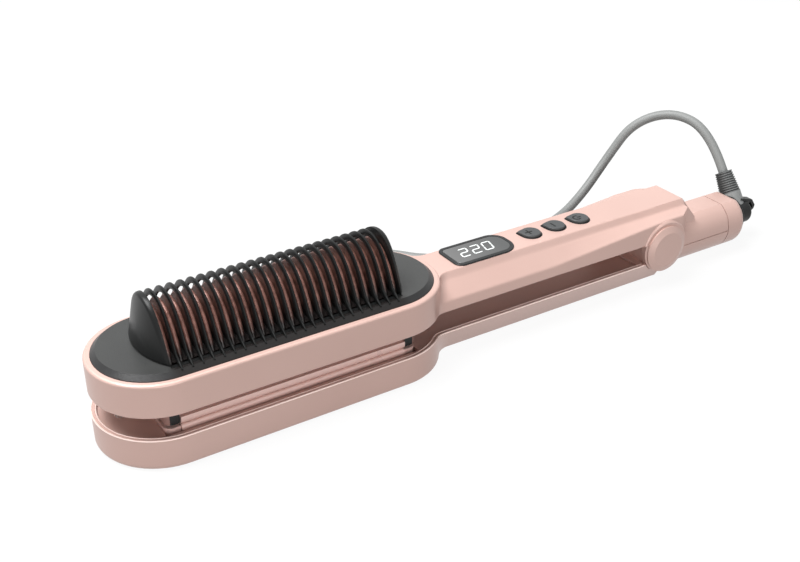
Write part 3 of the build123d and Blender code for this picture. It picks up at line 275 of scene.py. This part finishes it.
def place(tree, kind, links=(), **values):
    """Adds a node, sets its plain values, and links (socket, source output) pairs to it."""
    node = tree.nodes.new(kind)
    for key, value in values.items():
        setattr(node, key, value)
    for socket, source in links:
        if isinstance(source, bpy.types.NodeSocket):
            tree.links.new(source, node.inputs[socket])
        else:
            node.inputs[socket].default_value = source
    return node


def spread(tree, value, low, high, new_low, new_high):
    """Maps low..high to new_low..new_high and stops at the ends."""
    limits = zip(("From Min", "From Max", "To Min", "To Max"), (low, high, new_low, new_high))
    return place(tree, "ShaderNodeMapRange", [("Value", value), *limits]).outputs["Result"]


# %% The two shared groups
cloud, given, out = new_group("cloud", {"Size": 40.0, "Contrast": 1.0}, ["Mask"])
where = place(cloud, "ShaderNodeTexCoord").outputs["Object"]
slow = place(cloud, "ShaderNodeTexNoise",
             [("Vector", where), ("Scale", given.outputs["Size"]), ("Detail", 3.0)])
centred = place(cloud, "ShaderNodeMath", [(0, slow.outputs["Fac"]), (1, 0.5)],
                operation="SUBTRACT")
scaled = place(cloud, "ShaderNodeMath",
               [(0, centred.outputs[0]), (1, given.outputs["Contrast"]), (2, 0.5)],
               operation="MULTIPLY_ADD", use_clamp=True)
cloud.links.new(scaled.outputs[0], out.inputs["Mask"])

grain, given, out = new_group("grain", {"Size": 2500.0, "Stretch X": 1.0, "Stretch Z": 1.0},
                              ["Height"])
where = place(grain, "ShaderNodeTexCoord").outputs["Object"]
stretch = place(grain, "ShaderNodeCombineXYZ", [("X", given.outputs["Stretch X"]), ("Y", 1.0),
                                                ("Z", given.outputs["Stretch Z"])])
drawn = place(grain, "ShaderNodeVectorMath", [(0, where), (1, stretch.outputs[0])],
              operation="MULTIPLY")
fine = place(grain, "ShaderNodeTexNoise",
             [("Vector", drawn.outputs[0]), ("Scale", given.outputs["Size"]), ("Detail", 2.0),
              ("Roughness", 0.6)])
grain.links.new(fine.outputs["Fac"], out.inputs["Height"])


# %% [markdown]
# A finish is a Principled shader whose colour moves between two near shades with the cloud, whose
# roughness follows it, and whose surface has the grain. Numbers that are the same all over, such as
# coat and metal, are set straight on the shader.


# %% Finish from a colour
def shade(colour):
    """A screen colour (0 to 255 each) as the linear colour that Blender works in."""
    c = np.array(colour) / 255
    return (*np.where(c <= 0.04045, c / 12.92, ((c + 0.055) / 1.055) ** 2.4), 1.0)


CONTRAST, BUMP_HEIGHT, COAT_ROUGH = 1.8, 0.2 * MM, 0.12


def finish(name, dark, light, rough=(0.4, 0.5), metal=0.0, coat=0.0, size=45.0,
           grain_size=2500.0, grain_depth=0.02, stretch=(1.0, 1.0), specular=0.5):
    """A material: colour between dark and light by the cloud, grain as a bump, gloss by the cloud.

    The bump's strength is ten times grain_depth, over a height of BUMP_HEIGHT.
    """
    made = bpy.data.materials.new(name)
    made.use_nodes = True
    tree = made.node_tree
    shader = tree.nodes["Principled BSDF"]
    mask = place(tree, "ShaderNodeGroup", node_tree=cloud)
    mask.inputs["Size"].default_value = size
    mask.inputs["Contrast"].default_value = CONTRAST
    colour = place(tree, "ShaderNodeMix", [("Factor", mask.outputs["Mask"])], data_type="RGBA")
    colour.inputs["A"].default_value, colour.inputs["B"].default_value = shade(dark), shade(light)
    tree.links.new(colour.outputs["Result"], shader.inputs["Base Color"])
    tree.links.new(spread(tree, mask.outputs["Mask"], 0, 1, *rough), shader.inputs["Roughness"])
    pores = place(tree, "ShaderNodeGroup", node_tree=grain)
    for label, value in zip(("Size", "Stretch X", "Stretch Z"), (grain_size, *stretch)):
        pores.inputs[label].default_value = value
    bump = place(tree, "ShaderNodeBump", [("Height", pores.outputs["Height"]),
                                          ("Strength", grain_depth * 10),
                                          ("Distance", BUMP_HEIGHT)])
    tree.links.new(bump.outputs["Normal"], shader.inputs["Normal"])
    shader.inputs["Metallic"].default_value = metal
    shader.inputs["Coat Weight"].default_value = coat
    shader.inputs["Coat Roughness"].default_value = COAT_ROUGH
    shader.inputs["Specular IOR Level"].default_value = specular
    return made


def overlay(made, factor, colour):
    """Lays a second colour over a finish where the factor is 1."""
    tree = made.node_tree
    base = tree.nodes["Principled BSDF"].inputs["Base Color"]
    mix = place(tree, "ShaderNodeMix", [("Factor", factor), ("A", base.links[0].from_socket)],
                data_type="RGBA")
    mix.inputs["B"].default_value = shade(colour)
    tree.links.new(mix.outputs["Result"], base)


def object_axis(tree, axis, normal=False):
    """One coordinate of the piece's own position, or of its normal."""
    source = place(tree, "ShaderNodeTexCoord").outputs["Normal" if normal else "Object"]
    return place(tree, "ShaderNodeSeparateXYZ", [("Vector", source)]).outputs[axis]


def calc(tree, operation, first, second=0.0):
    """One step of arithmetic on node values."""
    return place(tree, "ShaderNodeMath", [(0, first), (1, second)], operation=operation).outputs[0]


def wear(made, *names):
    """Gives one finish to CAD nodes or to pieces of this script."""
    for name in names:
        piece = nodes.get(name) or bpy.data.objects[name]
        if not piece.material_slots:
            piece.data.materials.append(made)
        for slot in piece.material_slots:
            slot.material = made


# %% [markdown]
# The paint is a rose gold: a pale copper metal flake under a satin lacquer. It is part metal and
# part pigment, so it keeps its colour in soft light and brightens where it faces the lamp.

# %% Rose paint
rose = finish("rose_paint", (204, 170, 160), (213, 180, 170), rough=(0.32, 0.4), metal=0.2,
              coat=0.08, size=18.0, grain_size=3800.0, grain_depth=0.012, specular=0.35)
wear(rose, "upper_shell", "lower_shell", "collar_cover", "end_cap", "upper_cover", "lower_cover",
     "near_disc", "far_disc")

# %% [markdown]
# The other parts: satin black guard and inlay, copper fins, smooth plates, grey buttons and elbow,
# a dark rubber boot, and the plain inner parts, which show only in the exploded model.

# %% The other finishes
black = finish("satin_black", (28, 29, 29), (38, 39, 38), rough=(0.36, 0.46), grain_size=3000.0,
               specular=0.2)
inlay = finish("inlay_black", (46, 47, 47), (56, 57, 56), rough=(0.3, 0.4), grain_size=3400.0,
               grain_depth=0.03, specular=0.4)
copper = finish("copper_fins", (86, 55, 47), (148, 104, 93), rough=(0.34, 0.46), metal=0.25,
                size=330.0, grain_size=1500.0, grain_depth=0.08, stretch=(1.0, 0.05))
plates = finish("plate_glaze", (238, 202, 193), (244, 210, 201), rough=(0.24, 0.32), metal=0.1,
                coat=0.3, grain_size=1200.0, grain_depth=0.004, stretch=(0.05, 1.0))
bezel = finish("display_bezel", (26, 27, 28), (36, 37, 38), rough=(0.25, 0.32), specular=0.25)
glass = finish("display_glass", (54, 56, 56), (64, 66, 66), rough=(0.1, 0.16), coat=0.3,
               grain_depth=0.002)
grey = finish("button_grey", (66, 68, 69), (78, 80, 81), grain_size=3600.0, specular=0.3)
elbow = finish("elbow_grey", (128, 130, 129), (140, 142, 141), grain_size=3600.0)
rubber = finish("boot_rubber", (44, 46, 46), (58, 60, 60), rough=(0.55, 0.65), grain_size=2600.0,
                grain_depth=0.05)
jacket = finish("cord_jacket", (124, 126, 125), (138, 140, 139), rough=(0.45, 0.55),
                grain_size=2600.0, grain_depth=0.04)
steel = finish("bright_steel", (176, 176, 174), (196, 196, 194), rough=(0.22, 0.32), metal=1.0,
               stretch=(0.1, 1.0))
brass = finish("plated_pins", (196, 190, 176), (210, 205, 192), rough=(0.22, 0.3), metal=0.9,
               grain_depth=0.003)
ceramic = finish("heater_ceramic", (226, 222, 212), (238, 235, 226), rough=(0.5, 0.6))
mica = finish("shield_mica", (186, 170, 138), (206, 192, 162), rough=(0.35, 0.5), size=160.0)
board = finish("board_green", (36, 92, 58), (46, 110, 70), rough=(0.35, 0.45), size=300.0)
lead_white = finish("inner_lead", (214, 210, 200), (228, 224, 216))
gloss = finish("comb_black", (14, 15, 15), (24, 25, 25), rough=(0.3, 0.4), grain_size=3000.0,
               grain_depth=0.006, specular=0.22)
digit = finish("digit_white", (226, 232, 230), (238, 242, 240), rough=(0.3, 0.4))
lit_digit = digit.node_tree.nodes["Principled BSDF"]
lit_digit.inputs["Emission Color"].default_value = shade((232, 238, 236))
lit_digit.inputs["Emission Strength"].default_value = 0.35
mark = finish("mark_black", (12, 13, 13), (20, 21, 21), specular=0.2)
# The carrier is rose, painted darker with the shade inside the gap between the arms.
carrier = finish("carrier_shaded_rose", (150, 116, 108), (162, 126, 118), specular=0.3)
wear(carrier, "upper_carrier")
wear(black, "hang_loop", "button_switches", "board_supports", "swivel_base", "hank_tie")
wear(gloss, "front_cap", "rear_cap", "comb_blades")
wear(inlay, "comb_base")
wear(copper, "heated_comb")
wear(plates, "upper_plate", "lower_plate", "lower_carrier")
wear(bezel, "display_frame")
wear(glass, "display_glass")
wear(grey, "plus_button", "minus_button", "power_button")
wear(elbow, "cord_elbow", "plug_body")
wear(rubber, "strain_relief")
wear(jacket, "cord_lead", "cord_hank", "cord_tail", "cord_start", "cord_main")
wear(steel, "hinge_pin", "plate_springs", "upper_cover_screws", "lower_cover_screws")
wear(brass, "plug_pins")
wear(ceramic, "comb_heater", "upper_heater", "lower_heater")
wear(mica, "heat_shield")
wear(board, "control_board", "display_module")
wear(lead_white, "inner_lead")

# %% [markdown]
# Five finishes change over the piece. The inlay's bevel is darker than its top, which the normal
# tells:
# this is painted shade. The two strips beside the comb carry painted shade too, among the blades'
# feet.
# The carrier is black only next to the plate's ends. The boot has painted highlights on its ribs, on
# its near side only. The fins darken towards their feet with painted shade from the blades. The
# display's glass fades from left to right with a painted reflection.

# %% Finishes that change over the piece
# The middles of the head and of the strips beside the comb. The boot's lean. Its lowest rib, the
# pitch of its ribs and the part of each that gets a painted highlight.
HEAD_X, STRIPS_X = -93.3 * MM, -93.8 * MM
BOOT_LEAN = radians(34.4)
FIRST_RIB, RIB_PITCH, RIB_HIGHLIGHT_PART = 19.466 * MM, 1.0833 * MM, 0.4


def distance(tree, axis, middle=0.0):
    """How far a point of the piece lies from a middle, along one axis."""
    return calc(tree, "ABSOLUTE", calc(tree, "SUBTRACT", object_axis(tree, axis), middle))


tree = inlay.node_tree
# Painted shade: the inlay's bevel, which faces away from the light, is darker than its top.
overlay(inlay, spread(tree, object_axis(tree, "Z", normal=True), 0.9, 0.98, 1, 0), (30, 30, 31))
# Painted shade on the two strips beside the comb, among the blades' feet.
beside = spread(tree, distance(tree, "Y"), 16.5 * MM, 18.5 * MM, 0, 1)
along = spread(tree, distance(tree, "X", STRIPS_X), 44 * MM, 47 * MM, 1, 0)
overlay(inlay, calc(tree, "MULTIPLY", beside, along), (14, 10, 9))
tree = carrier.node_tree
from_middle = distance(tree, "X", HEAD_X)
at_end = calc(tree, "MULTIPLY", calc(tree, "GREATER_THAN", from_middle, 45.2 * MM),
              calc(tree, "LESS_THAN", from_middle, 48.8 * MM))
overlay(carrier, at_end, (34, 35, 35))
tree = rubber.node_tree
height = calc(tree, "ADD", calc(tree, "MULTIPLY", object_axis(tree, "Y"), sin(BOOT_LEAN)),
              calc(tree, "MULTIPLY", object_axis(tree, "Z"), cos(BOOT_LEAN)))
ribs = calc(tree, "DIVIDE", calc(tree, "SUBTRACT", height, FIRST_RIB), RIB_PITCH)
# Painted highlights: a light band on each rib, laid only where the boot faces the front.
light = calc(tree, "LESS_THAN", calc(tree, "FRACT", ribs), RIB_HIGHLIGHT_PART)
near = spread(tree, object_axis(tree, "Y", normal=True), -0.6, 0.0, 1, 0)
overlay(rubber, calc(tree, "MULTIPLY", light, near), (112, 114, 114))
tree = copper.node_tree
# Painted shade: the fins darken towards their feet, where the blades shade them.
overlay(copper, spread(tree, object_axis(tree, "Z"), 37.5 * MM, 43 * MM, 1, 0), (24, 17, 16))
tree = glass.node_tree
# Painted reflection: the glass is lighter at its left end and fades to the right.
overlay(glass, spread(tree, object_axis(tree, "X"), -16 * MM, 10 * MM, 1, 0), (98, 98, 98))

# %% [markdown]
# ## The comb
# The guard is a row of thin arched blades. Each is a strip bent into an arch, and its feet run out
# into points on the inlay. The height of the arch falls off as a power of the distance from the
# middle, a little fuller than a parabola.

# %% The arch
# In millimetres: the head's tip, the arch's foot and the inlay's top. Then the blades' number,
# pitch and first place behind the tip, and the comb's middle. Last, the arch's half span, rise and
# power.
TIP = -162.3
RIM, BASE = 34.5, 36.4
BLADES, PITCH, FIRST = 23, 3.85, 26.1
MIDDLE = TIP + FIRST + PITCH * (BLADES - 1) / 2
SPAN, RISE, POWER = 18.5, 21.4, 2.3


def arch(t, half=SPAN, rise=RISE, foot=RIM):
    """Points (y, z) and outward normals of the arch: z = foot + rise * (1 - |y / half| ^ power).

    t runs from -1 to 1, and y = half * sin(t * 90 degrees), so that points crowd at the feet.
    """
    y = half * np.sin(t * pi / 2)
    z = foot + rise * (1 - np.abs(y / half) ** POWER)
    slope = -rise * POWER / half * np.sign(y) * np.abs(y / half) ** (POWER - 1)
    normal = np.stack([-slope, np.ones_like(slope)], -1) / np.hypot(slope, 1)[:, None]
    return np.stack([y, z], -1), normal


# %% Blades
def blade_grid(thick=1.0, band=2.4, leave=0.7, knee=(17.6, 37.0), toe=(20.9, 36.1)):
    """One blade: an oval section carried along the arch, half its band inside the arch's line.

    Where t passes leave, the line goes from there, P, by the knee Q to the toe T on the inlay's
    bevel: point = P (1 - u)^2 + Q 2 u (1 - u) + T u^2. On the way the band narrows to
    1 - 0.8 u^3 and the thickness to 1 - 0.5 u^4 of what they were.
    """
    t = np.linspace(-1, 1, 73)
    line, normal = arch(np.clip(t, -leave, leave))
    line = line - normal * band / 2
    u = np.clip((np.abs(t) - leave) / (1 - leave), 0, 1)[:, None]
    side = np.stack([np.sign(t), np.ones_like(t)], -1)
    line = line * (1 - u) ** 2 + side * knee * 2 * u * (1 - u) + side * toe * u ** 2
    ahead = np.gradient(line, axis=0)
    ahead /= np.linalg.norm(ahead, axis=1)[:, None]
    a, b = oval(thick / 2, band / 2, 2.8, 14)
    x = a * (1 - 0.5 * u ** 4)
    across = np.stack([-ahead[:, 1], ahead[:, 0]], -1)
    yz = line[:, None] + across[:, None] * (b * (1 - 0.8 * u ** 3))[..., None]
    return np.concatenate([x[..., None], yz], -1)


shift = np.zeros((BLADES, 1, 1, 3))
shift[:, 0, 0, 0] = TIP + FIRST + PITCH * np.arange(BLADES)
blades = skin("guard_blades", (blade_grid()[None] + shift) * MM, "upper_arm")
wear(gloss, "guard_blades")

# %% Rails that carry the blades, one on each side
RAIL_HALF, RAIL_Y, RAIL_Z = 45.05, 17.55, 33.4
a, b = oval(0.95, 2.95, 8, 16)
rail = np.zeros((2, 3, 16, 3))
rail[..., 0] = (MIDDLE + RAIL_HALF * np.array([-1, 0, 1]))[:, None]
rail[..., 1] = (RAIL_Y * np.array([-1, 1]))[:, None, None] + a
rail[..., 2] = RAIL_Z + b
rails = skin("guard_rails", rail * MM, "upper_arm")
wear(gloss, "guard_rails")
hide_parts("comb_blades")


# %% [markdown]
# ## The copper fins
# Between the blades stand the heated fins. Each is a plate with a rounded crest that stays under
# the blades. They stand on one bar under the comb's window.

# %% Fins
def fin_grid(thick=1.7, half=16.3, rise=17.8):
    """One fin as rings across it, one at each y: over a rounded crest, and down to two feet.

    Round the crest the point is centre + normal * r * sin(turn) + x * r * cos(turn), r = thick / 2.
    """
    t = np.linspace(-0.985, 0.985, 49)
    line, normal = arch(t, half, rise)
    r = thick / 2
    turn = np.linspace(0, pi, 11)
    centre = line - normal * r
    x = np.broadcast_to(r * np.cos(turn), (len(t), len(turn)))
    yz = centre[:, None] + normal[:, None] * (r * np.sin(turn))[..., None]
    crest = np.concatenate([x[..., None], yz], -1)
    feet = np.stack(np.broadcast_arrays([-r, r], centre[:, :1], RIM - 1.0), -1)
    return np.concatenate([crest, feet], 1)


shift = np.zeros((BLADES + 1, 1, 1, 3))
shift[:, 0, 0, 0] = TIP + FIRST + PITCH * (np.arange(BLADES + 1) - 0.5)
fins = skin("copper_fin_row", (fin_grid()[None] + shift) * MM, "upper_arm")


def slab(half_x, half_y, power, middle, low, high):
    """A squared-off oval plate at three heights: |x / half_x|^power + |y / half_y|^power = 1."""
    a, b = oval(half_x, half_y, power, 64)
    heights = np.array([low, (low + high) / 2, high])[:, None]
    return np.stack(np.broadcast_arrays(middle + a, b, heights), -1)


bar = skin("copper_bar", slab(45.1, 15.5, 24, MIDDLE, 30.2, 36.0) * MM, "upper_arm")
flange = skin("copper_flange", slab(56.0, 21.0, 14, HEAD_X / MM, 29.0, 30.4) * MM, "upper_arm")
wear(copper, "copper_fin_row", "copper_bar", "copper_flange")
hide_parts("heated_comb")

# %% [markdown]
# ## The end caps
# A black cap closes each end of the comb. It fills the blades' arch and leans towards them. Its
# face is part of a leaning cylinder, so it bulges in plan, and its edge is well rounded.


# %% Caps
CAP_START, CAP_BACK = TIP + 17.0, -139.08


def cap_grid(reach=17.77, face=29.0, lean=12.0, edge=1.3):
    """The front cap as rings that grow from its face's middle to the arch, then go straight back.

    Ring point = middle * (1 - s) + arch * s. The face lies at
    x = start + face - sqrt(face^2 - y^2) + (z - base) * tan(lean), plus edge - sqrt(edge^2 - d^2)
    where the way in from the arch, 17 * (1 - s), is less than edge, and d = edge - way in. It stays
    short of the cap's back.
    """
    t = np.sin(np.linspace(-1, 1, 45) * pi / 2)
    over = np.stack([reach * t, RIM + RISE * (1 - np.abs(reach * t / SPAN) ** POWER)], -1)
    under = np.stack([np.linspace(reach, -reach, 13)[1:-1], np.full(11, BASE - 0.1)], -1)
    ring = np.vstack([over, under])
    middle = np.array([0.0, BASE + 8.0])
    s = np.array([0.03, 0.25, 0.5, 0.7, 0.84, 0.9, 0.93, 0.955, 0.975, 0.99, 1.0])
    yz = middle * (1 - s[:, None, None]) + ring * s[:, None, None]
    y, z = yz[..., 0], yz[..., 1]
    way_in = (1 - s) * 17
    d = np.clip(edge - way_in, 0, edge)
    x = CAP_START + face - np.sqrt(face ** 2 - y ** 2) + (z - BASE) * np.tan(radians(lean))
    x = np.minimum(x + (edge - np.sqrt(edge ** 2 - d ** 2))[:, None], CAP_BACK - 0.07)
    front = np.concatenate([x[..., None], yz], -1)
    back = np.concatenate([np.full((1, len(ring), 1), CAP_BACK), ring[None]], -1)
    return np.concatenate([front, back])


front = cap_grid()
rear = front * (-1, 1, 1) + (2 * MIDDLE, 0, 0)
for name, node, grid in (
    ("leaning_cap_front", "front_cap", front),
    ("leaning_cap_rear", "rear_cap", rear),
):
    cap = skin(name, grid * MM, "upper_arm", sharp=50)
    wear(gloss, name)
    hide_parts(node)

# %% [markdown]
# ## Painted rim highlights
# The lower arm's open rim has two painted highlights, on an outer and an inner edge. Each is a thin,
# light bead that follows the rim: along the handle, round the neck's hollow corner, along the head
# and round its tip.


# %% Edge beads that carry the painted highlights
HANDLE_HALF, HEAD_HALF, BEAD_Z = 16.7, 24.6, 12.22
NECK_X, NECK_Y, NECK_ROUND, NECK_TURN = -28.0, -23.7, 7, 131.4
HEAD_REAR, HEAD_FRONT = -48.9, -137.7


def rim_line(inset):
    """Points (x, y) of the rim, drawn in by inset, from the hinge round the tip and back.

    The neck's corner is an arc of NECK_ROUND + inset about (NECK_X, NECK_Y), and the head's ends
    are arcs of HEAD_HALF - inset about (HEAD_REAR, 0) and (HEAD_FRONT, 0).
    """
    half, hollow, round_head = HANDLE_HALF - inset, NECK_ROUND + inset, HEAD_HALF - inset
    corner = np.radians(np.linspace(90, NECK_TURN, 9))
    shoulder = np.radians(np.linspace(NECK_TURN - 180, -90, 9))
    tip = np.radians(np.linspace(-90, -180, 25))
    near = np.vstack([
        np.column_stack([np.linspace(76, -26, 18), np.full(18, -half)]),
        np.column_stack([NECK_X + hollow * np.cos(corner), NECK_Y + hollow * np.sin(corner)]),
        np.column_stack([HEAD_REAR + round_head * np.cos(shoulder), round_head * np.sin(shoulder)]),
        np.column_stack([np.linspace(-54, -133, 14), np.full(14, -round_head)]),
        np.column_stack([HEAD_FRONT + round_head * np.cos(tip), round_head * np.sin(tip)]),
    ])
    return np.vstack([near, near[-2::-1] * (1, -1)])


# A light, glossy colour on the beads paints the rim's highlights.
rim_highlight = finish("painted_rim_highlight", (250, 222, 212), (255, 232, 224), rough=(0.26, 0.34), metal=0.4,
                grain_depth=0.002)
for name, inset, radius in (("rim_highlight_outer", 0.2, 0.32), ("rim_highlight_inner", 1.75, 0.26)):
    rim = rim_line(inset)
    path = np.column_stack([rim, np.full(len(rim), BEAD_Z)]) * MM
    bead = skin(name, tube_along(path, radius * MM, 8), "lower_arm")
    wear(rim_highlight, name)

# %% [markdown]
# ## Digits and marks
# The display shows 220 in slanted seven-segment digits. Each segment is a thin bar with pointed
# ends, a hair above the glass. The buttons carry a plus, a minus and a power sign, which go down
# with them, and a black rim lies round each button's hole.

# %% Seven-segment digits
# Each segment leads from one (column, row) of a digit to another. A digit is one column wide and
# two rows high. DIGITS gives its foot's x behind the head's tip and its lit segments. A bar reaches
# from just inside the glass, whose top is at 34.5, to a little above it.
SEGMENTS = {"a": ((0, 2), (1, 2)), "b": ((1, 1), (1, 2)), "c": ((1, 0), (1, 1)),
            "d": ((0, 0), (1, 0)), "e": ((0, 0), (0, 1)), "f": ((0, 1), (0, 2)),
            "g": ((0, 1), (1, 1))}
DIGITS = ((152.25, "abged"), (157.95, "abged"), (163.65, "abcdef"))
COLUMN, ROW, FOOT_Y = 3.7, 3.0, -2.8
HALF_BAR, BAR_GAP, SLANT = 0.27, 0.1, 0.21
bars = []
for foot_x, lit in DIGITS:
    for letter in lit:
        begin, end = np.array(SEGMENTS[letter]) * (COLUMN, ROW)
        length = np.abs(end - begin).max()
        ahead = (end - begin) / length
        away = np.array([-ahead[1], ahead[0]])
        far = length - 2 * BAR_GAP
        along = np.array([0, HALF_BAR, far - HALF_BAR, far, far - HALF_BAR, HALF_BAR])
        across = HALF_BAR * np.array([0, 1, 1, 0, -1, -1])
        flat = begin + (along + BAR_GAP)[:, None] * ahead + across[:, None] * away
        x = TIP + foot_x + flat[:, 0] + SLANT * flat[:, 1]
        heights = np.array([34.49, 34.53, 34.56])[:, None]
        bars.append(np.stack(np.broadcast_arrays(x, flat[:, 1] + FOOT_Y, heights), -1))
digits = skin("display_digits", np.array(bars) * MM, "upper_arm")
wear(digit, "display_digits")


# %% Marks on the buttons
# In millimetres: the middles of the button holes, and of the marks on the buttons. Then the half
# width and half length of a mark's strokes, and the radius of the power sign.
HOLE_X = np.array([25.7, 38.5, 51.3])
MARK_X = HOLE_X - 1.2
WIDE, LONG, RING = 0.34, 1.8, 1.6


def mark_prism(outline, centre_x, top=35.1):
    """A flat sign, rooted in the button: its outline round (centre_x, 0) at three heights."""
    x, y = np.asarray(outline, float).T
    heights = top + np.array([-0.05, 0.0, 0.04])[:, None]
    return np.stack(np.broadcast_arrays(x + centre_x, y, heights), -1)


plus = [(WIDE, WIDE), (WIDE, LONG), (-WIDE, LONG), (-WIDE, WIDE), (-LONG, WIDE), (-LONG, -WIDE),
        (-WIDE, -WIDE), (-WIDE, -LONG), (WIDE, -LONG), (WIDE, -WIDE), (LONG, -WIDE), (LONG, WIDE)]
minus = np.column_stack(oval(WIDE, LONG, 8, 20))
turn = np.radians(np.linspace(50, 310, 27))
circle = np.column_stack([np.cos(turn), np.sin(turn)])
ring = np.vstack([circle * (RING + WIDE), circle[::-1] * (RING - WIDE)])
stroke = np.column_stack(oval(0.95, WIDE, 8, 54)) + (1.15, 0)
power = np.stack([mark_prism(ring, MARK_X[2]), mark_prism(stroke, MARK_X[2])])
for name, body, grid in (
    ("plus_mark", "plus_button", mark_prism(plus, MARK_X[0])),
    ("minus_mark", "minus_button", mark_prism(minus, MARK_X[1])),
    ("power_mark", "power_button", power),
):
    sign = skin(name, grid * MM, body)
    wear(mark, name)

# %% Black rims round the button holes
# Each hole is a circle with one drawn-out corner. Its two sides are tangents that touch the circle
# at TOUCH radians to either side of the corner, which is cut off at CORNER radii and turned by AIM.
HOLE, HOLE_Z, CORNER, TOUCH, AIM = 4.55, 34.0, 1.27, 0.7447, radians(36)
turn = 2 * pi * np.arange(60) / 60
off_corner = np.abs(turn - pi)
reach = np.where(off_corner < TOUCH, 1 / np.cos(TOUCH - off_corner), 1.0)
reach = np.minimum(reach, CORNER) * HOLE
aim = turn - AIM
a, b = oval(0.3, 0.14, 2.5, 8)
rims = np.zeros((3, 60, 8, 3))
rims[..., 0] = (reach[:, None] + a) * np.cos(aim)[:, None] + HOLE_X[:, None, None]
rims[..., 1] = (reach[:, None] + a) * np.sin(aim)[:, None]
rims[..., 2] = HOLE_Z + b
button_rims = skin("button_rims", rims * MM, "upper_arm", round_trip=True)
wear(mark, "button_rims")

# %% [markdown]
# ## Springs
# The floating plate rests on four coil springs. Each is steel wire wound into a helix, and all four
# flatten together towards the tray when the plate sinks, so they are made as one piece.


# %% Coil springs
# The corners of the CAD model's plain springs give the coils' places and height.
cad = np.zeros(len(nodes["plate_springs"].data.vertices) * 3)
nodes["plate_springs"].data.vertices.foreach_get("co", cad)
low_corner, high_corner = cad.reshape(-1, 3).min(0), cad.reshape(-1, 3).max(0)
WIRE, OUTER, TURNS = 0.35 * MM, 2.2 * MM, 4
wound = np.linspace(0, 1, TURNS * 20 + 1)
turn = 2 * pi * TURNS * wound
height = low_corner[2] + WIRE + (high_corner[2] - 2 * WIRE - low_corner[2]) * wound
coils = []
for x in (low_corner[0] + OUTER, high_corner[0] - OUTER):
    for y in (low_corner[1] + OUTER, high_corner[1] - OUTER):
        helix = np.stack([x + (OUTER - WIRE) * np.cos(turn), y + (OUTER - WIRE) * np.sin(turn),
                          height], 1)
        coils.append(tube_along(helix, WIRE, 8))
springs = skin("coil_springs", np.array(coils), "lower_arm")
wear(steel, "coil_springs")
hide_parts("plate_springs")
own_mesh(springs)

# %% [markdown]
# ## Light
# A large soft lamp above the head's end brightens all that faces up, as in the photograph. A second
# one stands low in front, so that its light gets into the gap. The world gives an even low light.
# To the camera and in reflections the world and the floor are white, but the floor keeps a faint
# shadow.


# %% Lamps
def lamp(name, place_at, aim, size, power):
    """A square area lamp that points from one place to another."""
    data = bpy.data.lights.new(name, "AREA")
    data.size, data.energy = size, power
    made = bpy.data.objects.new(name, data)
    made.location = place_at
    made.rotation_euler = (Vector(aim) - Vector(place_at)).to_track_quat("-Z", "Y").to_euler()
    scene.collection.objects.link(made)


lamp("overhead", (-0.36, 0.2, 1.05), (0, 0, 0.02), 0.7, 21.5)
lamp("front", (-0.3, -1.0, 0.1), (0, 0, 0.02), 0.5, 5.8)


# %% World and floor
def seen_directly(tree):
    """1 for rays from the camera, from mirrors and through glass, and 0 for soft light."""
    path = place(tree, "ShaderNodeLightPath")
    both = calc(tree, "MAXIMUM", path.outputs["Is Camera Ray"], path.outputs["Is Glossy Ray"])
    return calc(tree, "MAXIMUM", both, path.outputs["Is Transmission Ray"])


def by_ray(tree, lit, direct, output):
    """Sends one shader to soft light and the other to rays that see it directly."""
    choice = place(tree, "ShaderNodeMixShader",
                   [(0, seen_directly(tree)), (1, lit.outputs[0]), (2, direct.outputs[0])])
    tree.links.new(choice.outputs[0], tree.nodes[output].inputs["Surface"])


world = bpy.data.worlds.new("studio")
scene.world = world
world.use_nodes = True
tree = world.node_tree
soft = tree.nodes["Background"]
soft.inputs["Color"].default_value, soft.inputs["Strength"].default_value = (1, 1, 1, 1), 0.21
white = place(tree, "ShaderNodeBackground", [("Color", (1, 1, 1, 1)), ("Strength", 1.0)])
by_ray(tree, soft, white, "World Output")

# The floor lies a hair under the tool's rest face.
FLOOR_HALF, FLOOR_Z = 3, -0.4 * MM
ground = bpy.data.meshes.new("table")
corners = [(x * FLOOR_HALF, y * FLOOR_HALF, FLOOR_Z)
           for x, y in ((-1, -1), (1, -1), (1, 1), (-1, 1))]
ground.from_pydata(corners, [], [(0, 1, 2, 3)])
floor = bpy.data.objects.new("table", ground)
scene.collection.objects.link(floor)
paper = bpy.data.materials.new("white_paper")
paper.use_nodes = True
tree = paper.node_tree
tree.nodes.remove(tree.nodes["Principled BSDF"])
plain = place(tree, "ShaderNodeBsdfDiffuse", [("Color", (0.25, 0.25, 0.25, 1))])
faint = place(tree, "ShaderNodeBsdfDiffuse", [("Color", (0.07, 0.07, 0.07, 1))])
glow = place(tree, "ShaderNodeEmission", [("Color", (1, 1, 1, 1)), ("Strength", 0.93)])
lit = place(tree, "ShaderNodeAddShader", [(0, faint.outputs[0]), (1, glow.outputs[0])])
by_ray(tree, plain, lit, "Material Output")
ground.materials.append(paper)
